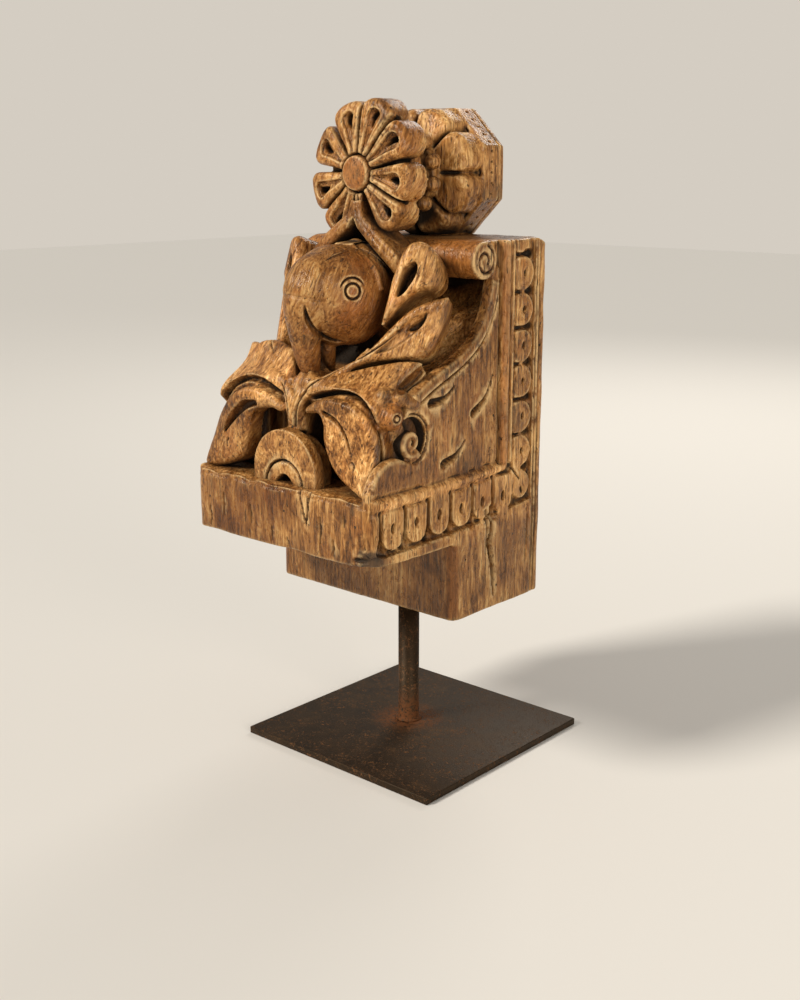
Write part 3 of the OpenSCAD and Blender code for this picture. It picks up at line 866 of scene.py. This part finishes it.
def rosetteCuts(co):
    for k in range(8):
        c, s = compass(45 * k)
        line = [(d * c, 14, roseZ + d * s) for d in (26, 34, 42, 50)]
        cut(co, line, 1.5, 6, (0, 1, 0), taper=[0.7, 0.8, 1.0, 0.8], reach=14, both=False)


def rosetteLines(co):
    # a line along each side of the octagon, one inside its face, and a row of dots
    for k in range(8):
        a, b = math.radians(22.5 + 45 * k), math.radians(67.5 + 45 * k)
        p = np.array((rosetteR * math.cos(a), 51, roseZ + rosetteR * math.sin(a)))
        q = np.array((rosetteR * math.cos(b), 51, roseZ + rosetteR * math.sin(b)))
        into = -np.array((math.cos((a + b) / 2), 0, math.sin((a + b) / 2)))
        cut(co, [p, (p + q) / 2, q], 0.8, 1.6, into, both=False)
        border = [c * (0.93, 0, 0.93) + (0, 31, roseZ * 0.07) for c in (p, (p + q) / 2, q)]
        cut(co, border, 0.7, 1.5, yBack, both=False)
        for j in range(rosette["dots"]):
            m = p + (q - p) * (j + 0.5) / rosette["dots"] - (0, 9, 0)
            cut(co, [m - (0, 0.4, 0), m + (0, 0.4, 0)], 0.9, 1.6, into, both=False)


shaped("rearRosette", rosette, bm, rosetteCuts, rosetteLines)

# where painted shade goes in hollows, creases and deep places, where edges are worn, and where stains and
# painted light lie
print("wear")
rays = dict(count=5, reach=42.0, spread=6, seed=5)


def thinned(name, mesh, limit):
    # creases and edges are read on the dense mesh, then the mesh is thinned
    co, edges = spots(mesh), links(mesh)
    way = normals(mesh)
    soft = relaxed(co, edges, 7)
    cavity = np.sum((soft - co) * way, axis=1)
    cavity = relaxed(cavity[:, None], edges, 1)[:, 0]
    softer = relaxed(soft, edges, 36)
    crease = np.sum((softer - co) * way, axis=1)
    triangles = 2 * len(mesh.polygons)
    if triangles > limit:
        mesh = modified(mesh, "DECIMATE", decimate_type="COLLAPSE", ratio=limit / triangles,
                        use_collapse_triangulate=True)
        tree = KDTree(len(co))
        for i, c in enumerate(co):
            tree.insert(c, i)
        tree.balance()
        pick = np.array([tree.find(c)[1] for c in spots(mesh)])
        cavity, crease = cavity[pick], crease[pick]
    mesh.name = name
    # groove and crease mark where painted shade darkens cuts and creases; edge marks worn edges, which
    # also take a painted highlight
    return mesh, {"groove": step(cavity, 0.06, 0.34), "crease": step(crease, 0.25, 2.2),
                  "edge": step(-cavity, 0.08, 0.42)}


thin = {name: thinned(name, mesh, limit) for name, (mesh, limit) in wood.items()}
allSpots, allFaces = [], []
for mesh, _ in thin.values():
    start = len(allSpots)
    allSpots += [tuple(c) for c in spots(mesh)]
    allFaces += [tuple(v + start for v in p.vertices) for p in mesh.polygons]
tree = BVHTree.FromPolygons(allSpots, allFaces)
rng = np.random.default_rng(rays["seed"])


def shadedIn(mesh):
    # share of short rays that meet wood, blurred over the surface
    co, way = spots(mesh), normals(mesh)
    met = np.zeros(len(co))
    start = [Vector(c) for c in co + way * 0.5]
    for _ in range(rays["count"]):
        aimed = unit(way + unit(rng.normal(size=co.shape)) * 0.98)
        found = [tree.ray_cast(p, d, rays["reach"])[3] for p, d in zip(start, map(Vector, aimed))]
        met += [0.0 if d is None else 1 - 0.6 * d / rays["reach"] for d in found]
    return relaxed(met[:, None] / rays["count"], links(mesh), rays["spread"], 0.8)[:, 0]


def stainShadeAndLightAt(name, co, way):
    # above zero browner and darker, below zero paler; it holds real stains and, in some places, painted
    # light and shade
    x, y, z = co.T
    stain = 0.25 * roughly(co, 26, 22)
    if name == "corbelBlock":
        stain += (y < -146) * (z < 243) * (0.58 + 0.6 * roughly(co, 24, 21) + 0.25 * (x < -55))
        # painted shade on the tenon under the ledge
        stain += 0.55 * (z < 193) * (y < -50) * (0.8 + 0.6 * roughly(co, 30, 24))
        # the side bead paler as a painted highlight; the side faces darker as painted shade
        stain -= 0.45 * (np.abs(x) > 94) * (np.abs(z - 241.5) < 4.5) * (y < 8)
        stain += 0.52 * (np.abs(x) > 92) * (y < 2) * (z > 247)
        stain += 0.08 * (np.abs(x) > 90) * (y > 16) * (z > 210)
        # painted light on the sweep between the side walls, which the leaves shade
        stain -= 1.1 * (x < 88) * (x > 34) * (1 - step(z, 358, 372)) * (z > 300) * (y > -90)
    elif name == "corbelLeaves":
        # painted shade on the leaves' right-facing sides
        stain += 0.8 * step(way[:, 0], 0.7, 0.92) * (y > -134) * (z < 333) * (x > 60)
        stain -= 0.62 * (x < -10) * (z > 303) + 0.38 * step(z, 345, 352) * (y < -70)
        # painted shade on the lower left leaf; the hood a little paler
        stain += 0.30 * (x < -30) * (z < 300) - 0.22 * (x > 10) * (z > 308) * (z < 338) * (y > -132)
        # painted shade under the hood's tip
        hoodEnd = np.hypot(x - 89, (y + 98) - 1.25 * (z - 327))
        stain += (1 - step(hoodEnd, 5, 10)) * (z > 316) * (x > 82)
        # painted highlight: the drooping leaf's face paler
        stain -= 0.64 * (x > 34) * (x < 84) * (y < -130) * (z < 302)
    elif name == "birdHead":
        stain += 0.42 + 0.1 * (z < 345)
    elif name == "frontFlower":
        stain += 0.10 + 0.25 * roughly(co, 16, 23)
    else:
        stain += 0.3 * (y > 26) * (way[:, 1] < -0.7) - 0.1
    return stain


def amberAt(name, co):
    # where handling and varnish have left the wood orange
    x, y, z = co.T
    amber = 0.9 * (1 - step(np.hypot(x, z - roseZ), 12.6, 13.6)) * (y < -58)
    if name == "corbelBlock":
        amber += 0.7 * (1 - step(np.hypot(y + 23, z - 406), 14.6, 16)) * (np.abs(x) < 94)
        amber += 0.8 * (np.abs(y - 6.4) < 4.4) * (z > 246) * (np.abs(x) > 90)
        amber += 0.9 * (1 - step(np.hypot(np.abs(x) - halfWide, y + 57), 3, 9)) * (z < 193)
    elif name == "birdHead":
        cheek = np.linalg.norm(co - head["cheek"], axis=1)
        amber += 0.55 * (1 - step(cheek, 33, 36)) * (x > 2) + 0.4 * (z < 345)
    elif name == "corbelLeaves":
        amber += 0.8 * (1 - step(np.linalg.norm(co - (88, -119, 301), axis=1), 9, 14)) * (x > 0)
    elif name == "frontFlower":
        amber += 0.45 * np.clip(roughly(co, 15, 25) + 0.3, 0, 1)
    return np.clip(amber, 0, 1)


# middles and radii of the places darkened with painted shade
deepPlaces = dict(
    corbelBlock=[((78, -108, 287), (16, 18, 18)), ((-78, -108, 287), (16, 18, 18)),
                 ((20, 8, 391), (90, 27, 20)), ((-30, -28, 335), (56, 48, 38))],
    corbelLeaves=[((10, -108, 280), (34, 24, 30)), ((-26, -106, 278), (30, 24, 30)),
                  ((0, -76, 316), (60, 26, 26)), ((-24, -80, 340), (28, 30, 24)),
                  ((78, -105, 289), (14, 15, 18))],
    birdHead=[((0, -54, 425), (15, 15, 12)), ((2, -58, 335), (38, 32, 26))],
    frontFlower=[((0, -36, 447), (26, 22, 16))],
    rearRosette=[((0, 2, 440), (40, 18, 22))])
# painted shade in the pit at the end of each petal
for turn, reach, _ in flower["petals"]:
    c, s = compass(turn)
    pitAt = (reach - 14) * c, flower["y"] + 8, roseZ + (reach - 14) * s
    deepPlaces["frontFlower"].append((pitAt, (6, 8.5, 6)))


def shadeSpotsAt(name, co):
    # painted shade, full in the middle of each shaded place and fading to its edge
    spotShade = np.zeros(len(co))
    for centre, radii in deepPlaces[name]:
        away = np.linalg.norm((co - centre) / radii, axis=1)
        spotShade = np.maximum(spotShade, 1 - step(away, 0.45, 1.05))
    return spotShade


def paintedBlack(name, co):
    # painted shade, dark all over: the hollow inside each scroll, and the wood behind the head
    if name != "corbelBlock":
        return 0.0
    x, y, z = co.T
    away = np.hypot(y - wellY, z - wellZ)
    well = (1 - step(away, 17, 19)) * (1 - step(np.abs(x), 89.5, 92.5)) * (np.abs(x) > 84)
    behind = (1 - step(np.abs(x + 20), 34, 46)) * (1 - step(np.abs(y + 30), 28, 40))
    return np.maximum(well, 0.92 * behind * (1 - step(np.abs(z - 325), 36, 50)))


carved = {}
for name, (mesh, marks) in thin.items():
    shade = np.clip((shadedIn(mesh) - 0.18) / 0.70, 0, 1)
    co, edges = spots(mesh), links(mesh)
    if name == "corbelBlock":  # painted light: the sweep between the side walls lies in the leaves' shadow, so its painted shade is mostly taken off
        paintedLightSweep = step(np.abs(co[:, 0]), 28, 44) * (np.abs(co[:, 0]) < 88) * step(co[:, 1], -75, -55)
        paintedLightSweep = paintedLightSweep * (1 - step(co[:, 2], 360, 374)) * (co[:, 0] > 0)
        shade *= 1 - 0.85 * paintedLightSweep
        marks["crease"] = marks["crease"] * (1 - 0.8 * paintedLightSweep)
    inward = 0.3 + 0.7 * step(shade, 0.1, 0.4)
    # hollow is painted shade: from the rays, from the shaded places and from the places painted black
    marks["hollow"] = np.maximum(shade, shadeSpotsAt(name, co) * inward * 0.95)
    marks["hollow"] = np.maximum(marks["hollow"], paintedBlack(name, co))
    marks["amber"] = relaxed(amberAt(name, co)[:, None], edges, 2)[:, 0]
    marks["stain"] = relaxed(stainShadeAndLightAt(name, co, normals(mesh))[:, None], edges, 3)[:, 0]
    marks["lean"] = np.full(len(shade), 0.0 if name in ("corbelBlock", "rearRosette") else 0.5)
    for key, values in marks.items():
        layer = mesh.attributes.new(key, "FLOAT", "POINT")
        layer.data.foreach_set("value", values.astype(np.float32))
    put(mesh, co * mm)
    mesh.polygons.foreach_set("use_smooth", np.ones(len(mesh.polygons), bool))
    carved[name] = bpy.data.objects.new(name, mesh)
    bpy.context.scene.collection.objects.link(carved[name])
    print("finished", name, len(mesh.polygons))


print("finishes")


class Wire:
    # a socket that can be used in sums
    def __init__(self, finish, socket):
        self.finish, self.socket = finish, socket

    def maths(self, operation, *others):
        return self.finish.add("ShaderNodeMath", dict(operation=operation), (self, *others))

    def __add__(self, other):
        return self.maths("ADD", other)

    def __sub__(self, other):
        return self.maths("SUBTRACT", other)

    def __rsub__(self, other):
        return self.finish.add("ShaderNodeMath", dict(operation="SUBTRACT"), (other, self))

    def __mul__(self, other):
        return self.maths("MULTIPLY", other)

    def __truediv__(self, other):
        return self.maths("DIVIDE", other)

    def __pow__(self, other):
        return self.maths("POWER", other)

    __radd__ = __add__
    __rmul__ = __mul__

    def between(self, start, end):
        # 0 below start, 1 above end
        smooth = dict(interpolation_type="SMOOTHSTEP")
        return self.finish.add("ShaderNodeMapRange", smooth, (self, start, end))


class Finish:
    # a material, and short ways to add its nodes
    def __init__(self, name):
        self.material = bpy.data.materials.new(name)
        self.material.use_nodes = True
        self.tree = self.material.node_tree
        self.shader = self.tree.nodes["Principled BSDF"]
        self.place = self.add("ShaderNodeTexCoord", out="Object")

    def add(self, kind, settings=None, inputs=(), out=0):
        node = self.tree.nodes.new(kind)
        for key, value in (settings or {}).items():
            if key == "stops":
                self.stops(node.color_ramp, value)
            else:
                setattr(node, key, value)
        pairs = inputs.items() if isinstance(inputs, dict) else enumerate(inputs)
        for key, value in pairs:
            if isinstance(value, Wire):
                self.tree.links.new(value.socket, node.inputs[key])
            else:
                node.inputs[key].default_value = value
        return Wire(self, node.outputs[out])

    def stops(self, ramp, values):
        while len(ramp.elements) < len(values):
            ramp.elements.new(0.5)
        for element, (spot, colour) in zip(ramp.elements, values):
            element.position, element.color = spot, (*colour, 1)

    def mix(self, fac, a, b, blend="MIX"):
        a, b = ((*c, 1) if isinstance(c, tuple) else c for c in (a, b))
        settings = dict(data_type="RGBA", blend_type=blend)
        return self.add("ShaderNodeMix", settings, {0: fac, 6: a, 7: b}, out=2)

    def tinted(self, amount, colour, tint):
        # the colour multiplied by a tint where amount is high
        return self.mix(amount, colour, self.mix(1.0, colour, tint, "MULTIPLY"))

    def sized(self, size, stretch):
        # object coordinates in steps of size millimetres, drawn out where stretch is under 1
        scale = 1 / (size * mm)
        return self.add("ShaderNodeVectorMath", dict(operation="MULTIPLY"),
                        (self.place, tuple(scale * part for part in stretch)))

    def noise(self, size, detail=3.0, rough=0.55, twist=0.0, stretch=(1, 1, 1)):
        inputs = {"Vector": self.sized(size, stretch), "Scale": 1.0, "Detail": detail, "Roughness": rough,
                  "Distortion": twist}
        return self.add("ShaderNodeTexNoise", None, inputs)

    def cells(self, size, feature="F1", stretch=(1, 1, 1)):
        inputs = {"Vector": self.sized(size, stretch), "Scale": 1.0}
        return self.add("ShaderNodeTexVoronoi", dict(feature=feature), inputs, out="Distance")

    def read(self, name):
        return self.add("ShaderNodeAttribute", dict(attribute_name=name), out="Fac")

    def axes(self):
        # x, y and z on the object, in millimetres
        apart = self.add("ShaderNodeSeparateXYZ", None, (self.add("ShaderNodeTexCoord", out="Object"),))
        return [Wire(self, apart.socket.node.outputs[k]) / mm for k in range(3)]

    def surface(self, sockets):
        for key, value in sockets.items():
            socket = self.shader.inputs[key]
            if isinstance(value, Wire):
                self.tree.links.new(value.socket, socket)
            else:
                socket.default_value = value
        return self.material

    def bump(self, height, strength, distance):
        inputs = {"Strength": strength, "Distance": distance * mm, "Height": height}
        return self.add("ShaderNodeBump", None, inputs)


# colours of the old wood: the brown and the near black of hollows and the darker colour for the tenon are
# painted shade; the pale worn colour of edges is partly a painted highlight
woodLook = dict(
    tones=[(0.40, (0.060, 0.019, 0.0036)), (0.455, (0.205, 0.078, 0.0165)), (0.50, (0.385, 0.170, 0.044)),
           (0.545, (0.58, 0.290, 0.088)), (0.60, (0.84, 0.52, 0.205))],
    varnish=(0.37, 0.145, 0.032), greyed=(0.40, 0.250, 0.11), worn=(0.86, 0.57, 0.255),
    line=(0.055, 0.020, 0.005), dash=(0.035, 0.013, 0.0035), speck=(0.020, 0.008, 0.002),
    wormHole=(0.012, 0.005, 0.002), brown=(0.085, 0.030, 0.0075), deepShade=(0.0075, 0.0035, 0.0015),
    underside=(0.075, 0.030, 0.009), burnt=(0.040, 0.027, 0.019),
    specular=0.45, specularTint=(1.0, 0.88, 0.72, 1), bump=0.85, bumpHeight=1.0)


def oldWood():
    f, look = Finish("oldWood"), woodLook
    f.place = f.add("ShaderNodeVectorRotate", dict(rotation_type="X_AXIS"),
                    {"Vector": f.place, "Angle": f.read("lean")})
    blotch = f.noise(46, 3, 0.5, 0.4)
    streak = f.noise(5.2, 4, 0.62, 0.8, (1, 1, 0.14))
    fine = f.noise(1.6, 3, 0.62, 0.3, (1, 1, 0.07))
    swirl = f.noise(7.5, 3, 0.6, 2.8, (1, 1, 0.45))
    tone = blotch * 0.26 + streak * 0.28 + swirl * 0.22 + fine * 0.24
    colour = f.add("ShaderNodeValToRGB", dict(stops=look["tones"]), (tone,))
    # patches that handling left orange or age left grey, then stains with painted light and shade, then
    # worn edges that also carry a painted highlight
    amberPatch = f.noise(20, 3, 0.55, 0.8, (1, 1, 0.5)).between(0.54, 0.68) * 0.45
    amber = (amberPatch + f.read("amber") * 0.8).maths("MINIMUM", 0.9)
    orange = f.mix(1.0, colour, (1.0, 0.60, 0.32), "MULTIPLY")
    colour = f.mix(amber, colour, f.mix(0.55, orange, look["varnish"]))
    grey = f.noise(33, 3, 0.6, 0.5).between(0.55, 0.68)
    colour = f.mix(grey * 0.30, colour, f.mix(0.6, colour, look["greyed"]))
    stain = f.read("stain")
    colour = f.tinted(stain.maths("MAXIMUM", 0.0) * 1.1, colour, (0.42, 0.32, 0.22))
    colour = f.tinted((0 - stain).maths("MAXIMUM", 0.0) * 1.2, colour, (1.55, 1.6, 1.75))
    # pale worn edges, partly a painted highlight
    worn = f.read("edge") * f.noise(7, 2).between(0.30, 0.56)
    colour = f.mix(worn * 0.72, colour, look["worn"])
    # dark lines, dashes and specks along the grain, and worm holes
    lines = f.noise(1.15, 2, 0.6, 0.3, (1, 1, 0.05)).between(0.585, 0.66)
    lines = lines * f.noise(24, 2).between(0.44, 0.58)
    dashes = f.noise(2.2, 2, 0.6, 0.3, (1, 1, 0.13)).between(0.64, 0.69)
    dashes = dashes * f.noise(17, 2).between(0.42, 0.54)
    specks = f.noise(2.8, 2, 0.6, 0.5, (1, 1, 0.6)).between(0.685, 0.72)
    worm = (1 - f.cells(17).between(0.045, 0.07)) * f.noise(40, 1).between(0.45, 0.5)
    for mask, key in ((lines * 0.75, "line"), (dashes * 0.85, "dash"), (specks * 0.8, "speck"),
                      (worm * 0.95, "wormHole")):
        colour = f.mix(mask, colour, look[key])
    # painted shade: hollows are brown, the deepest hollows and the grooves almost black
    hollow, groove, crease = f.read("hollow"), f.read("groove"), f.read("crease")
    brown = (hollow * 0.80 + crease * 0.45).maths("MINIMUM", 0.9)
    colour = f.mix(brown, colour, look["brown"])
    deepShade = (hollow ** 3.0 * 1.25 + groove * 0.9).maths("MINIMUM", 0.97)
    colour = f.mix(deepShade, colour, look["deepShade"])
    # painted shade makes the tenon under the ledge darker, and the ledge's chipped corner is burnt
    x, y, z = f.axes()
    under = (1 - (z + f.noise(24, 2) * 26).between(198, 222)) * 0.30
    burnt = 1 - ((x - 92) ** 2.0 + (z - 197) ** 2.0 + f.noise(7, 3) * 260).between(170, 330)
    burnt = burnt * (1 - y.between(-142, -125))
    colour = f.mix(under, colour, look["underside"])
    colour = f.mix(burnt * 0.85, colour, look["burnt"])
    rough = 0.14 + swirl * 0.32 + deepShade * 0.45 + dashes * 0.2 + grey * 0.1
    facets = f.cells(9, "SMOOTH_F1", (1, 1, 0.55))
    height = fine * 0.5 + swirl * 1.1 + streak * 0.7 + facets * 1.15
    height = height - lines * 0.5 - dashes * 0.8 - worm * 1.6 - specks * 0.6
    return f.surface({"Base Color": colour, "Roughness": rough, "Specular IOR Level": look["specular"],
                      "Specular Tint": look["specularTint"],
                      "Normal": f.bump(height, look["bump"], look["bumpHeight"])})


woodFinish = oldWood()
for thing in carved.values():
    thing.data.materials.append(woodFinish)
    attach(thing, "root")
    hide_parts("carved_corbel")


steelLook = dict(
    tones=[(0.35, (0.010, 0.006, 0.003)), (0.55, (0.027, 0.0155, 0.0075)), (0.72, (0.062, 0.033, 0.014))],
    fleck=(0.20, 0.088, 0.034), pit=(0.006, 0.004, 0.003), bloom=(0.16, 0.056, 0.019),
    patch=(0.13, 0.055, 0.022),
    metallic=0.2, specular=0.34, specularTint=(1.0, 0.74, 0.50, 1), bump=0.45, bumpHeight=0.6)


def blackSteel():
    f, look = Finish("blackSteel"), steelLook
    mottle = f.noise(24, 4, 0.6, 0.6)
    grit = f.noise(1.5, 2, 0.6)
    colour = f.add("ShaderNodeValToRGB", dict(stops=look["tones"]), (mottle * 0.65 + grit * 0.35,))
    flecks = f.noise(2.3, 3, 0.7, 1.0).between(0.57, 0.64) * f.noise(16, 2).between(0.38, 0.55)
    colour = f.mix(flecks * 0.8, colour, look["fleck"])
    pits = f.noise(1.3, 2, 0.6).between(0.64, 0.70)
    colour = f.mix(pits * 0.7, colour, look["pit"])
    # rust spreads on the plate round the foot of the rod, and lies in patches on the rod
    x, y, z = f.axes()
    reach = (x * x + y * y).maths("SQRT") + f.noise(9, 3, 0.6, 1.0) * 18
    onRod = z.between(14, 40)
    bloom = (1 - reach.between(20, 46)) * (1 - onRod) * f.noise(3.2, 3, 0.65, 0.8).between(0.34, 0.56)
    colour = f.mix(bloom * 0.85, colour, look["bloom"])
    patches = f.noise(10, 4, 0.7, 1.2).between(0.54, 0.62) * onRod * 0.7
    colour = f.mix(patches, colour, look["patch"])
    rough = 0.40 + mottle * 0.2 + flecks * 0.25 + bloom * 0.3 - pits * 0.1
    height = grit * 0.7 + flecks * 0.9 + mottle * 0.8 + bloom * 0.6 - pits * 0.8
    return f.surface({"Base Color": colour, "Roughness": rough, "Metallic": look["metallic"],
                      "Specular IOR Level": look["specular"], "Specular Tint": look["specularTint"],
                      "Normal": f.bump(height, look["bump"], look["bumpHeight"])})


steelFinish = blackSteel()
plateLow, plateHigh = (np.array(c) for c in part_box("foot_plate"))
rodLow, rodHigh = (np.array(c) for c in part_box("stand_rod"))


def steelPiece(name, node, bm):
    mesh = meshOf(bm, name)
    mesh.polygons.foreach_set("use_smooth", np.ones(len(mesh.polygons), bool))
    mesh.materials.append(steelFinish)
    thing = bpy.data.objects.new(name, mesh)
    bpy.context.scene.collection.objects.link(thing)
    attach(thing, "root")
    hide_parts(node)


plate = dict(edge=0.9, segments=3)
bm = bmesh.new()
made = bmesh.ops.create_cube(bm, size=1.0)["verts"]
bmesh.ops.scale(bm, vec=Vector(plateHigh - plateLow), verts=made)
bmesh.ops.translate(bm, vec=Vector((plateLow + plateHigh) / 2), verts=made)
bmesh.ops.bevel(bm, geom=list(bm.edges), offset=plate["edge"] * mm, offset_type="OFFSET",
                segments=plate["segments"], profile=0.5, affect="EDGES", material=-1)
steelPiece("footPlate", "foot_plate", bm)

rod = dict(weld=[(2.6, 0), (2.2, 1.2), (0.9, 2.4), (0, 3.6)], steps=72)  # weld's width and height
bm = bmesh.new()
rodR = (rodHigh[0] - rodLow[0]) / 2
profile = [(0, rodLow[2])] + [(rodR + out * mm, rodLow[2] + up * mm) for out, up in rod["weld"]]
profile += [(rodR, rodHigh[2]), (0, rodHigh[2])]
verts = [bm.verts.new((r, 0, z)) for r, z in profile]
edges = [bm.edges.new(pair) for pair in zip(verts, verts[1:])]
bmesh.ops.spin(bm, geom=verts + edges, cent=(0, 0, 0), axis=(0, 0, 1), angle=2 * math.pi,
               steps=rod["steps"], use_merge=True)
bmesh.ops.remove_doubles(bm, verts=bm.verts, dist=1e-6)
steelPiece("standRod", "stand_rod", bm)

print("stage")
stage = dict(
    floorSize=6.0, floorColour=(0.78, 0.75, 0.70, 1), skyColour=(1.0, 0.97, 0.93, 1), skyStrength=0.30,
    backColour=(0.66, 0.61, 0.54, 1), aim=(0, -0.03, 0.30),
    key=dict(kind="SUN", place=(-0.85, -1.75, 1.75), energy=2.7, color=(1.0, 0.955, 0.88),
             angle=math.radians(13)),
    fill=dict(kind="AREA", place=(2.3, -0.8, 0.8), energy=24, color=(1.0, 0.94, 0.85),
              shape="DISK", size=1.2),
    back=dict(kind="AREA", place=(-0.6, 1.8, 1.5), energy=12, color=(1.0, 0.96, 0.9),
              shape="DISK", size=1.0),
    cameraPlace=(0.69435, -0.79469, 0.47533), azimuth=41.557, pitch=14.5, lens=46.8)
scene = bpy.context.scene
bm = bmesh.new()
bmesh.ops.create_grid(bm, x_segments=1, y_segments=1, size=stage["floorSize"])
floorMesh = bpy.data.meshes.new("floor")
bm.to_mesh(floorMesh)
bm.free()
floor = bpy.data.objects.new("floor", floorMesh)
scene.collection.objects.link(floor)
paleFloor = Finish("paleFloor").surface({"Base Color": stage["floorColour"], "Roughness": 0.8})
floorMesh.materials.append(paleFloor)

world = bpy.data.worlds.new("world")
scene.world = world
world.use_nodes = True
tree = world.node_tree
sky = tree.nodes["Background"]
backdrop = tree.nodes.new("ShaderNodeBackground")
seen = tree.nodes.new("ShaderNodeLightPath")
either = tree.nodes.new("ShaderNodeMixShader")
sky.inputs["Color"].default_value = stage["skyColour"]
sky.inputs["Strength"].default_value = stage["skyStrength"]
backdrop.inputs["Color"].default_value = stage["backColour"]
tree.links.new(seen.outputs["Is Camera Ray"], either.inputs[0])
tree.links.new(sky.outputs[0], either.inputs[1])
tree.links.new(backdrop.outputs[0], either.inputs[2])
tree.links.new(either.outputs[0], tree.nodes["World Output"].inputs[0])


def lamp(name, kind, place, **settings):
    data = bpy.data.lights.new(name, kind)
    for key, value in settings.items():
        setattr(data, key, value)
    thing = bpy.data.objects.new(name, data)
    thing.location = place
    thing.rotation_euler = (Vector(stage["aim"]) - Vector(place)).to_track_quat("-Z", "Y").to_euler()
    scene.collection.objects.link(thing)


for part in ("key", "fill", "back"):
    lamp(part + "Light", **stage[part])

camera = bpy.data.objects.new("camera", bpy.data.cameras.new("camera"))
camera.data.lens = stage["lens"]
camera.data.sensor_width = 36
camera.data.clip_start = 0.01
azimuth, pitch = math.radians(stage["azimuth"]), math.radians(stage["pitch"])
camera.location = stage["cameraPlace"]
level = math.cos(pitch)
ahead = Vector((-math.sin(azimuth) * level, math.cos(azimuth) * level, -math.sin(pitch)))
camera.rotation_euler = ahead.to_track_quat("-Z", "Y").to_euler()
scene.collection.objects.link(camera)
scene.camera = camera
scene.view_settings.view_transform = "Standard"
